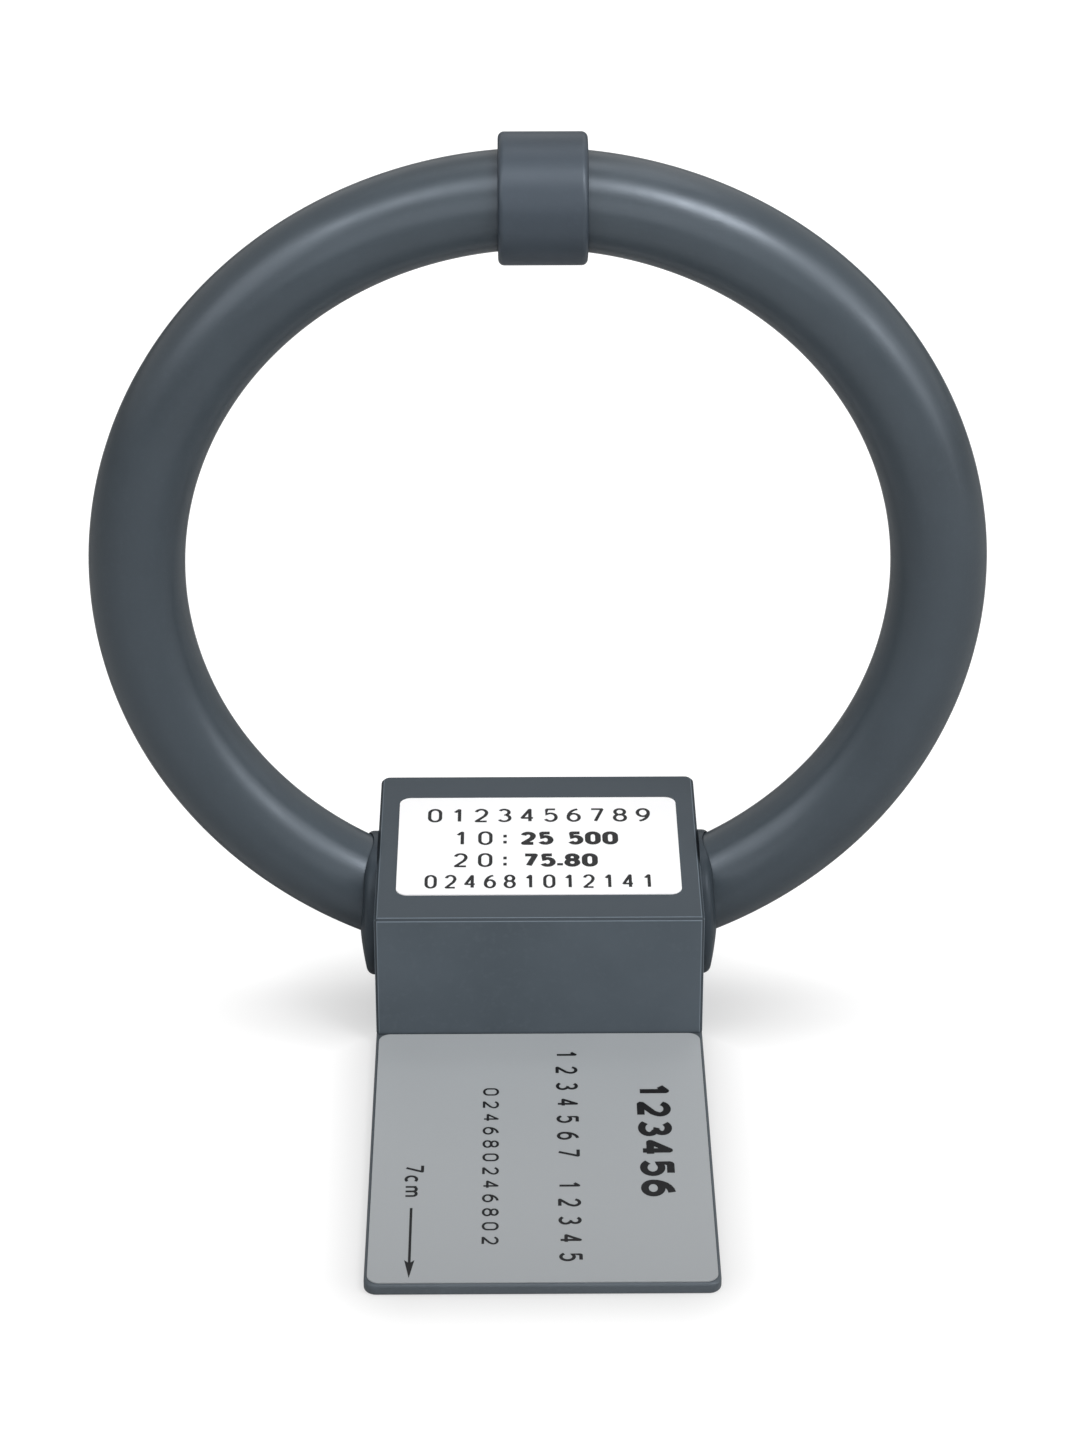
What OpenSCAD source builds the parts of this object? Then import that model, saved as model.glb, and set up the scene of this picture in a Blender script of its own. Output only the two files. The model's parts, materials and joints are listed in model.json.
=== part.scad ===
// Small shielded loop antenna for magnetic field measurements.
// A tube ring with its winding stands in a connector housing. The housing sits on a base plate
// whose tongue sets the measuring distance in front of it.
// Frame: +Z up, +X right, +Y to the back. The origin is on the base plate's underside, below the
// ring's plane. Sizes are in millimetres.

/* [Loop] */
// Mean diameter of the winding and of the tube ring
loop_d = 133; // [124:1:150]
// Outer diameter of the ring's tube
tube_od = 16; // [15:0.5:17]
// Wall of the ring's tube
tube_wall = 1.5; // [1:0.1:2]
// Thickness of the wound bundle
winding_d = 3; // [2.5:0.1:4]
// Gap between the two tube halves under the collar
seam_gap = 0.2; // [0.1:0.1:1]
// Height of the tube's centre line above the side flange's centre, at the flange's top
entry_rise = 4.7; // [4:0.1:5]
// Length of the sleeve over the winding in the housing
sleeve_len = 18; // [12:1:20]
// Wall of that sleeve
sleeve_wall = 0.6; // [0.4:0.1:0.8]

/* [Collar] */
// Outer diameter of the collar
collar_od = 21; // [19:0.5:26]
// Length of the collar along the ring
collar_len = 14.2; // [10:0.2:24]
// Rounding of the collar's ends
collar_edge_r = 1; // [0.4:0.1:1.4]
// How far the collar sits to the right of the seam
collar_shift = 0.8; // [0:0.1:1.5]

/* [Screen] */
// Wall of the copper screen inside the tube
screen_wall = 0.3; // [0.2:0.05:0.6]
// Break in the screen at the top of the ring
screen_gap = 4; // [2:0.5:8]
// Length of each spacer that centres the winding
spacer_len = 6; // [4:0.5:10]
// Spacers in each half of the ring
spacers_per_side = 5; // [3:1:6]

/* [Housing] */
// Width of the housing
housing_w = 55.4; // [52:0.2:66]
// Depth of the housing
housing_d = 48.6; // [46:0.2:60]
// Height of the housing above the base plate
housing_h = 23; // [22.5:0.5:30]
// Side walls of the housing
wall = 2.5; // [2:0.1:3]
// Top wall of the housing
roof_t = 2.5; // [2:0.1:3]
// Edge rounding of the housing
edge_r = 0.6; // [0.4:0.05:1.5]
// Diameter of the corner posts inside the housing
post_d = 6; // [5:0.5:7]

/* [Base plate] */
// How far the plate's tongue reaches in front of the housing: the measuring distance
tongue_len = 70; // [50:1:100]
// Thickness of the base plate
plate_t = 2; // [1.8:0.1:4]
// Corner rounding at the tongue's front
plate_corner_r = 2; // [1:0.5:6]
// Thread diameter of the screws that hold the plate
base_screw_d = 2.5; // [2:0.1:3]
// Length of the screws that hold the plate
base_screw_len = 10; // [8:0.5:14]
// Head diameter of the screws that hold the plate
base_head_d = 4.7; // [4:0.1:5.5]
// Head height of the screws that hold the plate
base_head_h = 1.2; // [0.8:0.1:1.5]

/* [Side flanges] */
// Diameter of the side flange
flange_d = 25; // [24:0.5:27]
// Height of the side flange's dome
flange_t = 3.4; // [3.2:0.1:4.4]
// Rounding of the side flange's rim
flange_edge_r = 2.2; // [1.6:0.1:2.6]
// Depth of the seat for the tube, from the top of the dome
seat_depth = 3; // [2.8:0.1:3.1]
// Diameter of the flange's spigot through the housing wall
spigot_d = 14; // [13:0.5:15]
// Bore of the spigot, which the winding passes
spigot_bore = 11; // [10.5:0.1:11.6]
// Width across flats of the lock nut on the spigot
lock_nut_af = 17; // [16.5:0.5:18]
// Thickness of the lock nut
lock_nut_t = 3; // [2:0.5:4]
// Spigot length past the lock nut
spigot_tail = 1; // [0.5:0.5:2]

/* [Output jack] */
// Outer diameter of the bayonet barrel
jack_barrel_d = 9.6; // [9.4:0.1:10]
// Length of the jack outside the wall
jack_len = 11; // [10:0.5:16]
// Diameter of the jack's flange
jack_flange_d = 14.5; // [13:0.5:18]
// Thickness of the jack's flange
jack_flange_t = 1.6; // [1:0.1:2.5]
// Thread diameter of the jack
jack_thread_d = 9.4; // [9:0.1:9.5]
// Length of the jack's thread behind the flange
jack_thread_len = 8; // [7.5:0.5:10]
// Inner diameter of the bayonet barrel
jack_mouth_d = 8.2; // [8.1:0.05:8.4]
// Depth of the open mouth of the barrel
jack_mouth_len = 8.6; // [7:0.2:9]
// Diameter of the bayonet lugs
lug_d = 2; // [1.6:0.1:2.2]
// Distance over both bayonet lugs
lug_span = 11.1; // [10.8:0.1:11.6]
// Distance of the lugs from the barrel's front
lug_setback = 4.2; // [3.6:0.1:5]
// Diameter of the insulator in the mouth
jack_core_d = 4.8; // [4.4:0.1:5.2]
// How far the insulator stays behind the barrel's front
core_setback = 1; // [0.6:0.1:2]
// Diameter of the insulator in the thread
jack_insulator_d = 6; // [5.6:0.1:6.6]
// Diameter of the centre contact
contact_d = 2.1; // [2:0.1:2.3]
// Bore of the centre contact at both ends
contact_bore = 1.4; // [1.2:0.1:1.5]
// Depth of that bore at the front
contact_bore_len = 5; // [4:0.5:6]
// Depth of the solder cup at the back
contact_cup_len = 2; // [1.5:0.1:2.5]
// How far the centre contact stays behind the barrel's front
contact_setback = 1.4; // [1:0.1:2.4]
// How far the centre contact stands out inside the housing
contact_tail = 3; // [2:0.5:4]
// Width across flats of the jack's nut
jack_nut_af = 12.7; // [12:0.1:14]
// Thickness of the jack's nut
jack_nut_t = 2.5; // [2:0.1:3]
// Thickness of the lock washer
washer_t = 0.6; // [0.4:0.1:0.8]
// Outer diameter of the lock washer and of the ground tag's ring
washer_d = 13; // [12.5:0.1:13.5]
// Thickness of the ground tag
tag_t = 0.5; // [0.3:0.1:0.6]
// Distance from the jack's axis to the end of each tail of the ground tag
tag_reach = 11; // [10:0.5:12]
// Width of the ground tag's tails
tag_w = 3; // [2.5:0.1:4]
// Hole in each tail
tag_hole_d = 1.4; // [1:0.1:1.6]

/* [Terminal board] */
// Width of the terminal board
board_w = 30; // [28:1:32]
// Depth of the terminal board
board_d = 11; // [10:0.5:12]
// Thickness of the terminal board
board_t = 1.6; // [1:0.1:2]
// Distance of the board from the housing's top wall
board_drop = 5; // [4:0.5:6]
// Gap between the board and the housing's front wall
board_gap = 2.5; // [1:0.5:3]
// Distance between the two board screws
board_screw_pitch = 22; // [20:0.5:23]
// Thread diameter of the board screws
board_screw_d = 2; // [1.6:0.1:2.2]
// Length of the board screws
board_screw_len = 5; // [4:0.5:6]
// Head diameter of the board screws
board_head_d = 3.8; // [3.4:0.1:4.2]
// Head height of the board screws
board_head_h = 1.2; // [1:0.1:1.4]
// Wall of the bosses that take the board screws
boss_wall = 1.5; // [1.2:0.1:1.8]
// Distance between the two terminal posts
terminal_pitch = 10; // [8:0.5:11]
// Diameter of the terminal posts
terminal_d = 1.8; // [1.6:0.1:2.2]
// Length of the terminal posts below the board
terminal_len = 3.4; // [3:0.1:4]
// How far a post's collar stands out against the board
terminal_collar_w = 0.7; // [0.5:0.1:0.9]
// How far a post's rim stands out at its ends
terminal_rim_w = 0.4; // [0.3:0.1:0.6]
// Diameter of the hook-up wires
wire_d = 0.8; // [0.6:0.05:1]

/* [Labels] */
// Width of the label on the housing
label_w = 48.4; // [40:0.1:50]
// Depth of the label on the housing
label_d = 32.7; // [26:0.1:42]
// How far the housing's label sits in front of the ring's plane
label_shift = 0.3; // [0:0.1:2]
// Margin between the tongue's label and the plate's edges
label_margin = 0.5; // [0.3:0.1:4]
// Gap between the tongue's label and the housing's front wall
label_gap = 0.1; // [0.1:0.1:4]
// Corner rounding of both labels
label_r = 2; // [1:0.1:3]
// Thickness of both labels
label_t = 0.2; // [0.1:0.05:0.4]

/* [Hidden] */

grey = [0.31, 0.35, 0.38];
plate_grey = [0.62, 0.64, 0.65];
copper = [0.72, 0.45, 0.28];

// Facets of the large rings, of turned parts and of small round parts
ring_fn = 180;
turned_fn = 96;
small_fn = 48;

// Radial clearance of parts that slide together and are glued
fit = 0.1;
// Clearance around threads and screws
thread_fit = 0.05;
// Overlap of a cutting shape past the surface that it cuts
cut = 1;
// Gap that a soldered wire's surface keeps from the metal beside it
solder_gap = 0.05;
// Angles of the ring over which the collar's bore and the flange's seat are cut
bore_sweep = 45;
seat_sweep = 60;
// Facets of a sweep along a wire: round it, and between two points of its route
wire_sides = 8;
wire_steps = 4;

loop_r = loop_d / 2;
tube_bore = tube_od - 2 * tube_wall;
screen_od = tube_bore - 2 * fit;
screen_id = screen_od - 2 * screen_wall;

housing_top = plate_t + housing_h;
roof_z = housing_top - roof_t;
flange_z = plate_t + housing_h / 2;
flange_face = housing_w / 2 + flange_t;
seat_x = flange_face - seat_depth;
rim_x = flange_d / 2 - flange_edge_r;
loop_z = flange_z + entry_rise + sqrt(loop_r * loop_r - flange_face * flange_face);
inner_x = housing_w / 2 - wall;
rear_y = housing_d / 2;
front_y = -housing_d / 2;
tongue_y = front_y - tongue_len;

// Angles along the ring: half the screen's gap, a spacer, and half the sleeve
gap_angle = asin(screen_gap / 2 / loop_r);
spacer_angle = 2 * asin(spacer_len / 2 / loop_r);
sleeve_angle = asin(sleeve_len / 2 / loop_r);
// Angle from which the whole bore of the tube is clear of the flange
clear_angle = -acos((seat_x + 2 * fit) / (loop_r - tube_bore / 2));

post_x = housing_w / 2 - wall - post_d / 2 + 2 * fit;
post_y = housing_d / 2 - wall - post_d / 2 + 2 * fit;

board_y = front_y + wall + board_gap + board_d / 2;
board_top = roof_z - board_drop;
board_low = board_top - board_t;
boss_d = board_screw_d + 2 * boss_wall;
tag_x = tag_reach - tag_hole_d;
tag_y = rear_y - wall - tag_t;
contact_end_y = rear_y - jack_thread_len - contact_tail;
wire_r = wire_d / 2;

// Places something in the ring's plane: the drawing's x and y become X and Z about the ring's centre
module at_loop() {
    translate([0, 0, loop_z])
        rotate([90, 0, 0])
            children();
}

// A profile swept along the ring between two angles
module loop_arc(from, to) {
    at_loop()
        rotate([0, 0, from])
            rotate_extrude(angle = to - from, $fn = ring_fn)
                translate([loop_r, 0])
                    children();
}

module annulus(od, id) {
    difference() {
        circle(d = od, $fn = small_fn);
        circle(d = id, $fn = small_fn);
    }
}

// A plate outline with its own corner radius at the front and at the back, centred on x
module plate_outline(w, y0, y1, front_r, back_r) {
    translate([-w / 2 + front_r, y0])
        square([w - 2 * front_r, front_r + fit]);
    translate([-w / 2, y0 + front_r])
        square([w, y1 - y0 - front_r - back_r]);
    translate([-w / 2 + back_r, y1 - back_r - fit])
        square([w - 2 * back_r, back_r + fit]);
    for (side = [-1, 1]) {
        translate([side * (w / 2 - front_r), y0 + front_r])
            circle(r = front_r, $fn = small_fn);
        translate([side * (w / 2 - back_r), y1 - back_r])
            circle(r = back_r, $fn = small_fn);
    }
}

// The outline of a block standing on y = 0, rounded at its two upper corners
module arch_outline(w, h, r) {
    translate([-w / 2, 0])
        square([w, h - r]);
    translate([-w / 2 + r, 0])
        square([w - 2 * r, h]);
    for (side = [-1, 1])
        translate([side * (w / 2 - r), h - r])
            circle(r = r, $fn = small_fn);
}

// The lower half of the ring's space, from its left end up to x
module lower_half_up_to(x) {
    translate([-loop_d, -tube_od, loop_z - loop_d])
        cube([loop_d + x, 2 * tube_od, loop_d]);
}

module side(sign) {
    if (sign > 0)
        children();
    else
        mirror([1, 0, 0])
            children();
}

// One half of the tube ring, cut off upright where it stands in the flange
module ring_tube(sign) {
    seam_angle = asin(seam_gap / 2 / loop_r);
    side(sign)
        difference() {
            loop_arc(-90, 90 - seam_angle)
                annulus(tube_od, tube_bore);
            lower_half_up_to(seat_x);
        }
}

module ring_tube_right() {
    color(grey)
        ring_tube(1);
}

module ring_tube_left() {
    color(grey)
        ring_tube(-1);
}

// Collar over the seam, turned with rounded ends, bored to follow the ring
module top_collar() {
    half = collar_len / 2;
    color(grey)
        difference() {
            translate([collar_shift, 0, loop_z + loop_r])
                rotate([0, 90, 0])
                    rotate_extrude($fn = turned_fn)
                        collar_profile(half);
            loop_arc(90 - bore_sweep, 90 + bore_sweep)
                circle(d = tube_od + 2 * fit, $fn = small_fn);
        }
}

module collar_profile(half) {
    r = collar_od / 2;
    translate([0, -half])
        square([r - collar_edge_r, collar_len]);
    translate([0, -half + collar_edge_r])
        square([r, collar_len - 2 * collar_edge_r]);
    for (end = [-1, 1])
        translate([r - collar_edge_r, end * (half - collar_edge_r)])
            circle(r = collar_edge_r, $fn = small_fn);
}

// Copper screen that lines one half of the tube
module screen(sign) {
    side(sign)
        difference() {
            loop_arc(-90, 90 - gap_angle)
                annulus(screen_od, screen_id);
            lower_half_up_to(seat_x);
        }
}

module screen_right() {
    color(copper)
        screen(1);
}

module screen_left() {
    color(copper)
        screen(-1);
}

// Insulating ring that keeps the two halves of the screen apart
module screen_gap_ring() {
    rim = asin(fit / loop_r);
    color("ivory")
        loop_arc(90 - gap_angle + rim, 90 + gap_angle - rim)
            annulus(screen_od, winding_d + 2 * fit);
}

module winding() {
    color("darkred")
        at_loop()
            rotate_extrude($fn = ring_fn)
                translate([loop_r, 0])
                    circle(d = winding_d, $fn = small_fn);
}

// Sleeve over the winding in the middle of the housing
module winding_sleeve() {
    color("black")
        loop_arc(-90 - sleeve_angle, -90 + sleeve_angle)
            annulus(winding_d + 2 * (thread_fit + sleeve_wall), winding_d + 2 * thread_fit);
}

// Foam spacers that centre the winding in the screened tube
module winding_spacers() {
    first = clear_angle + spacer_angle / 2;
    last = 90 - gap_angle - spacer_angle;
    step = (last - first) / (spacers_per_side - 1);
    color("whitesmoke")
        for (sign = [-1, 1])
            side(sign)
                for (i = [0 : spacers_per_side - 1]) {
                    mid = first + i * step;
                    loop_arc(mid - spacer_angle / 2, mid + spacer_angle / 2)
                        annulus(screen_id - 2 * fit, winding_d + 2 * fit);
                }
}

// Half of the side flange's section: x is the radius, y runs out of the housing. A flat dome runs
// smoothly into the rounded rim.
module flange_profile() {
    rise = flange_t - flange_edge_r;
    dome_r = (rim_x * rim_x + flange_t * flange_t - flange_edge_r * flange_edge_r) / (2 * rise);
    meet_x = rim_x * dome_r / (dome_r - flange_edge_r);
    intersection() {
        translate([0, flange_t - dome_r])
            circle(r = dome_r, $fn = ring_fn);
        square([meet_x, flange_t]);
    }
    intersection() {
        translate([rim_x, 0])
            circle(r = flange_edge_r, $fn = small_fn);
        translate([rim_x, 0])
            square(flange_edge_r);
    }
}

// Domed side flange with a seat for the tube and a threaded spigot through the housing's wall
module flange(sign) {
    spigot_len = wall + lock_nut_t + spigot_tail;
    bore_top = flange_t - seat_depth + fit;
    side(sign)
        difference() {
            translate([housing_w / 2, 0, flange_z])
                rotate([0, 90, 0]) {
                    rotate_extrude($fn = turned_fn)
                        flange_profile();
                    translate([0, 0, -spigot_len])
                        cylinder(d = spigot_d, h = spigot_len + fit, $fn = turned_fn);
                }
            translate([housing_w / 2 - spigot_len - cut, 0, flange_z])
                rotate([0, 90, 0])
                    cylinder(d = spigot_bore, h = spigot_len + cut + bore_top, $fn = turned_fn);
            difference() {
                loop_arc(-90, -90 + seat_sweep)
                    circle(d = tube_od + 2 * fit, $fn = small_fn);
                lower_half_up_to(seat_x);
            }
        }
}

module flange_right() {
    color(grey)
        flange(1);
}

module flange_left() {
    color(grey)
        flange(-1);
}

module lock_nut(sign) {
    side(sign)
        translate([inner_x - lock_nut_t, 0, flange_z])
            rotate([0, 90, 0])
                difference() {
                    rotate([0, 0, 30])
                        cylinder(d = lock_nut_af / cos(30), h = lock_nut_t, $fn = 6);
                    translate([0, 0, -cut])
                        cylinder(d = spigot_d + 2 * thread_fit, h = lock_nut_t + 2 * cut, $fn = turned_fn);
                }
}

module lock_nut_right() {
    color(grey)
        lock_nut(1);
}

module lock_nut_left() {
    color(grey)
        lock_nut(-1);
}

// Housing: a block rounded on its upright and upper edges, hollow and open below
module housing_block() {
    intersection() {
        translate([0, 0, plate_t])
            linear_extrude(housing_h)
                plate_outline(housing_w, front_y, rear_y, edge_r, edge_r);
        translate([0, rear_y + cut, plate_t])
            rotate([90, 0, 0])
                linear_extrude(housing_d + 2 * cut)
                    arch_outline(housing_w, housing_h, edge_r);
        translate([-housing_w / 2 - cut, 0, plate_t])
            rotate([90, 0, 90])
                linear_extrude(housing_w + 2 * cut)
                    arch_outline(housing_d, housing_h, edge_r);
    }
}

module at_posts() {
    for (x = [-post_x, post_x])
        for (y = [-post_y, post_y])
            translate([x, y, 0])
                children();
}

module at_board_screws() {
    for (sign = [-1, 1])
        translate([sign * board_screw_pitch / 2, board_y, 0])
            children();
}

module housing_shell() {
    cavity_w = housing_w - 2 * wall;
    cavity_d = housing_d - 2 * wall;
    color(grey)
        difference() {
            union() {
                difference() {
                    housing_block();
                    translate([-cavity_w / 2, -cavity_d / 2, plate_t - cut])
                        cube([cavity_w, cavity_d, roof_z - plate_t + cut]);
                }
                at_posts()
                    translate([0, 0, plate_t])
                        cylinder(d = post_d, h = roof_z - plate_t + fit, $fn = small_fn);
                at_board_screws()
                    translate([0, 0, board_top])
                        cylinder(d = boss_d, h = board_drop + fit, $fn = small_fn);
            }
            at_posts()
                translate([0, 0, plate_t - cut])
                    cylinder(d = base_screw_d + 2 * thread_fit, h = base_screw_len + cut, $fn = small_fn);
            at_board_screws()
                translate([0, 0, board_top - cut])
                    cylinder(d = board_screw_d + 2 * thread_fit, h = board_drop + cut, $fn = small_fn);
            translate([-housing_w / 2 - cut, 0, flange_z])
                rotate([0, 90, 0])
                    cylinder(d = spigot_d + 2 * fit, h = housing_w + 2 * cut, $fn = turned_fn);
            translate([0, rear_y - wall - cut, flange_z])
                rotate([-90, 0, 0])
                    cylinder(d = jack_thread_d + 2 * fit, h = wall + 2 * cut, $fn = turned_fn);
        }
}

// Base plate: closes the housing from below and carries the tongue
module base_plate() {
    color(grey)
        difference() {
            linear_extrude(plate_t)
                plate_outline(housing_w, tongue_y, rear_y, plate_corner_r, edge_r);
            at_posts() {
                translate([0, 0, -cut])
                    cylinder(d = base_screw_d + 2 * fit, h = plate_t + 2 * cut, $fn = small_fn);
                cylinder(d1 = base_head_d + 2 * fit, d2 = base_screw_d + 2 * fit,
                         h = base_head_h, $fn = small_fn);
            }
        }
}

// Cross recess cut into a screw's head from below
module cross_recess(size, depth) {
    for (turn = [0, 90])
        rotate([0, 0, turn])
            translate([-size / 2, -size / 8, -cut])
                cube([size, size / 4, depth + cut]);
}

module base_screws() {
    color("gray")
        at_posts()
            difference() {
                union() {
                    cylinder(d1 = base_head_d, d2 = base_screw_d, h = base_head_h, $fn = small_fn);
                    cylinder(d = base_screw_d, h = base_screw_len, $fn = small_fn);
                }
                cross_recess(base_head_d / 2, base_head_h / 2);
            }
}

module top_label() {
    color("white")
        translate([0, -label_shift, housing_top])
            linear_extrude(label_t)
                plate_outline(label_w, -label_d / 2, label_d / 2, label_r, label_r);
}

module tongue_label() {
    color(plate_grey)
        translate([0, 0, plate_t])
            linear_extrude(label_t)
                plate_outline(housing_w - 2 * label_margin, tongue_y + label_margin,
                    front_y - label_gap, label_r, label_r);
}

// Places something on the jack's axis, with z pointing out of the rear wall from its face
module at_jack() {
    translate([0, rear_y, flange_z])
        rotate([-90, 0, 0])
            children();
}

module jack_body() {
    lug_z = jack_len - lug_setback;
    mouth_z = jack_len - jack_mouth_len;
    color("silver")
        at_jack()
            difference() {
                union() {
                    cylinder(d = jack_flange_d, h = jack_flange_t, $fn = turned_fn);
                    cylinder(d = jack_barrel_d, h = jack_len, $fn = turned_fn);
                    translate([0, 0, -jack_thread_len])
                        cylinder(d = jack_thread_d, h = jack_thread_len + jack_flange_t, $fn = turned_fn);
                    translate([0, 0, lug_z])
                        rotate([90, 0, 0])
                            cylinder(d = lug_d, h = lug_span, center = true, $fn = small_fn);
                }
                translate([0, 0, mouth_z])
                    cylinder(d = jack_mouth_d, h = jack_mouth_len + cut, $fn = turned_fn);
                translate([0, 0, -jack_thread_len - cut])
                    cylinder(d = jack_insulator_d + 2 * thread_fit,
                             h = jack_thread_len + jack_len, $fn = small_fn);
            }
}

module jack_insulator() {
    front = jack_len - core_setback;
    color("ivory")
        at_jack()
            difference() {
                union() {
                    translate([0, 0, -jack_thread_len])
                        cylinder(d = jack_insulator_d,
                                 h = jack_thread_len + jack_len - jack_mouth_len, $fn = small_fn);
                    cylinder(d = jack_core_d, h = front, $fn = small_fn);
                }
                translate([0, 0, -jack_thread_len - cut])
                    cylinder(d = contact_d + 2 * thread_fit,
                             h = jack_thread_len + jack_len, $fn = small_fn);
            }
}

module jack_contact() {
    front = jack_len - contact_setback;
    low = -jack_thread_len - contact_tail;
    color("gold")
        at_jack()
            difference() {
                translate([0, 0, low])
                    cylinder(d = contact_d, h = front - low, $fn = small_fn);
                translate([0, 0, front - contact_bore_len])
                    cylinder(d = contact_bore, h = contact_bore_len + cut, $fn = small_fn);
                translate([0, 0, low - cut])
                    cylinder(d = contact_bore, h = contact_cup_len + cut, $fn = small_fn);
            }
}

module ground_tag() {
    color("silver")
        at_jack()
            translate([0, 0, -wall - tag_t])
                difference() {
                    union() {
                        cylinder(d = washer_d, h = tag_t, $fn = small_fn);
                        translate([-tag_reach, -tag_w / 2, 0])
                            cube([2 * tag_reach, tag_w, tag_t]);
                    }
                    translate([0, 0, -cut])
                        cylinder(d = jack_thread_d + 2 * fit, h = tag_t + 2 * cut, $fn = small_fn);
                    for (sign = [-1, 1])
                        translate([sign * tag_x, 0, -cut])
                            cylinder(d = tag_hole_d, h = tag_t + 2 * cut, $fn = small_fn);
                }
}

module jack_washer() {
    color("silver")
        at_jack()
            translate([0, 0, -wall - tag_t - washer_t])
                linear_extrude(washer_t)
                    annulus(washer_d, jack_thread_d + 2 * fit);
}

module jack_nut() {
    color("silver")
        at_jack()
            translate([0, 0, -wall - tag_t - washer_t - jack_nut_t])
                difference() {
                    cylinder(d = jack_nut_af / cos(30), h = jack_nut_t, $fn = 6);
                    translate([0, 0, -cut])
                        cylinder(d = jack_thread_d + 2 * thread_fit,
                                 h = jack_nut_t + 2 * cut, $fn = small_fn);
                }
}

module terminal_board() {
    color("darkgoldenrod")
        difference() {
            translate([-board_w / 2, board_y - board_d / 2, board_low])
                cube([board_w, board_d, board_t]);
            at_board_screws()
                translate([0, 0, board_low - cut])
                    cylinder(d = board_screw_d + 2 * fit, h = board_t + 2 * cut, $fn = small_fn);
            at_terminals()
                translate([0, 0, board_low - cut])
                    cylinder(d = terminal_d + 2 * thread_fit, h = board_t + 2 * cut, $fn = small_fn);
        }
}

module board_screws() {
    color("silver")
        at_board_screws()
            difference() {
                union() {
                    translate([0, 0, board_low - board_head_h])
                        cylinder(d = board_head_d, h = board_head_h, $fn = small_fn);
                    translate([0, 0, board_low - board_head_h / 2])
                        cylinder(d = board_screw_d, h = board_screw_len + board_head_h / 2, $fn = small_fn);
                }
                translate([0, 0, board_low - board_head_h])
                    cross_recess(board_head_d / 2, board_head_h / 2);
            }
}

module at_terminals() {
    for (sign = [-1, 1])
        translate([sign * terminal_pitch / 2, board_y, 0])
            children();
}

// Turned posts: a shank through the board, a collar against it and a rim below
module terminal_posts() {
    collar_t = 0.6;
    rim_t = 0.4;
    swage_t = 0.3;
    collar_d = terminal_d + 2 * terminal_collar_w;
    rim_d = terminal_d + 2 * terminal_rim_w;
    color("gold")
        at_terminals() {
            translate([0, 0, board_low - terminal_len])
                cylinder(d = terminal_d, h = terminal_len + board_t + swage_t, $fn = small_fn);
            translate([0, 0, board_low - collar_t])
                cylinder(d = collar_d, h = collar_t, $fn = small_fn);
            translate([0, 0, board_low - terminal_len])
                cylinder(d = rim_d, h = rim_t, $fn = small_fn);
            translate([0, 0, board_top])
                cylinder(d = rim_d, h = swage_t, $fn = small_fn);
        }
}

// Wires: each is a smooth round sweep along points chosen by hand
function unit(v) = v / norm(v);

function spline_point(a, b, c, d, t) =
    0.5 * (2 * b + (c - a) * t + (2 * a - 5 * b + 4 * c - d) * t * t
        + (3 * b - a - 3 * c + d) * t * t * t);

function route(points) =
    let (last = len(points) - 1)
    concat(
        [for (i = [0 : last - 1])
            for (k = [0 : wire_steps - 1])
                spline_point(points[max(i - 1, 0)], points[i], points[i + 1],
                    points[min(i + 2, last)], k / wire_steps)],
        [points[last]]);

function ring_at(path, i, r) =
    let (
        last = len(path) - 1,
        along = unit(path[min(i + 1, last)] - path[max(i - 1, 0)]),
        across = unit(cross(along, [0.3, 0.2, 1])),
        over = cross(along, across))
    [for (k = [0 : wire_sides - 1])
        path[i] + r * (cos(360 * k / wire_sides) * across + sin(360 * k / wire_sides) * over)];

module wire(points) {
    path = route(points);
    rings = len(path);
    vertices = [for (i = [0 : rings - 1]) each ring_at(path, i, wire_r)];
    sides = [for (i = [0 : rings - 2])
        for (k = [0 : wire_sides - 1])
            let (n = (k + 1) % wire_sides)
            [i * wire_sides + k, (i + 1) * wire_sides + k, (i + 1) * wire_sides + n, i * wire_sides + n]];
    start = [for (k = [0 : wire_sides - 1]) k];
    end = [for (k = [0 : wire_sides - 1]) rings * wire_sides - 1 - k];
    polyhedron(points = vertices, faces = concat([start], [end], sides), convexity = 4);
}

// Height of the winding's centre line inside the housing
function winding_z(x) = loop_z - sqrt(loop_r * loop_r - x * x);

// Where a wire touches the side of a terminal post
solder_z = board_low - terminal_len / 2;
function post_side(sign, dx, dy) =
    let (reach = terminal_d / 2 + wire_r + solder_gap)
    [sign * terminal_pitch / 2 + dx * reach, board_y + dy * reach, solder_z];
// The two parts of the direction in which a wire leaves a post
post_lean = [0.34, 0.94];
// Depth at which the wires end on the ground tag, just in front of the metal
tag_front = tag_y - wire_r - solder_gap;

// A depth on the way from the terminal board to the jack's contact, as a share of that way
function depth_at(share) = board_y + (contact_end_y - board_y) * share;

// Leads from the winding's ends: they peel off it, fan out and go up to the posts
module winding_leads() {
    start_x = 14;
    step = 2;
    off = winding_d / 2 + wire_r + solder_gap;
    peel = wire_r - solder_gap;
    fan = 3 * wire_d;
    aside = terminal_pitch / 2 + 2 * terminal_d;
    post_front = 2 * terminal_d;
    color("firebrick")
        for (sign = [-1, 1])
            wire([
                [sign * (start_x + step), -off, winding_z(start_x + step)],
                [sign * start_x, -off - peel, winding_z(start_x)],
                [sign * (start_x - step), -off - fan, winding_z(start_x) + peel],
                [sign * aside, board_y + post_front, solder_z - wire_d],
                post_side(sign, sign * post_lean[1], post_lean[0])]);
}

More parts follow.
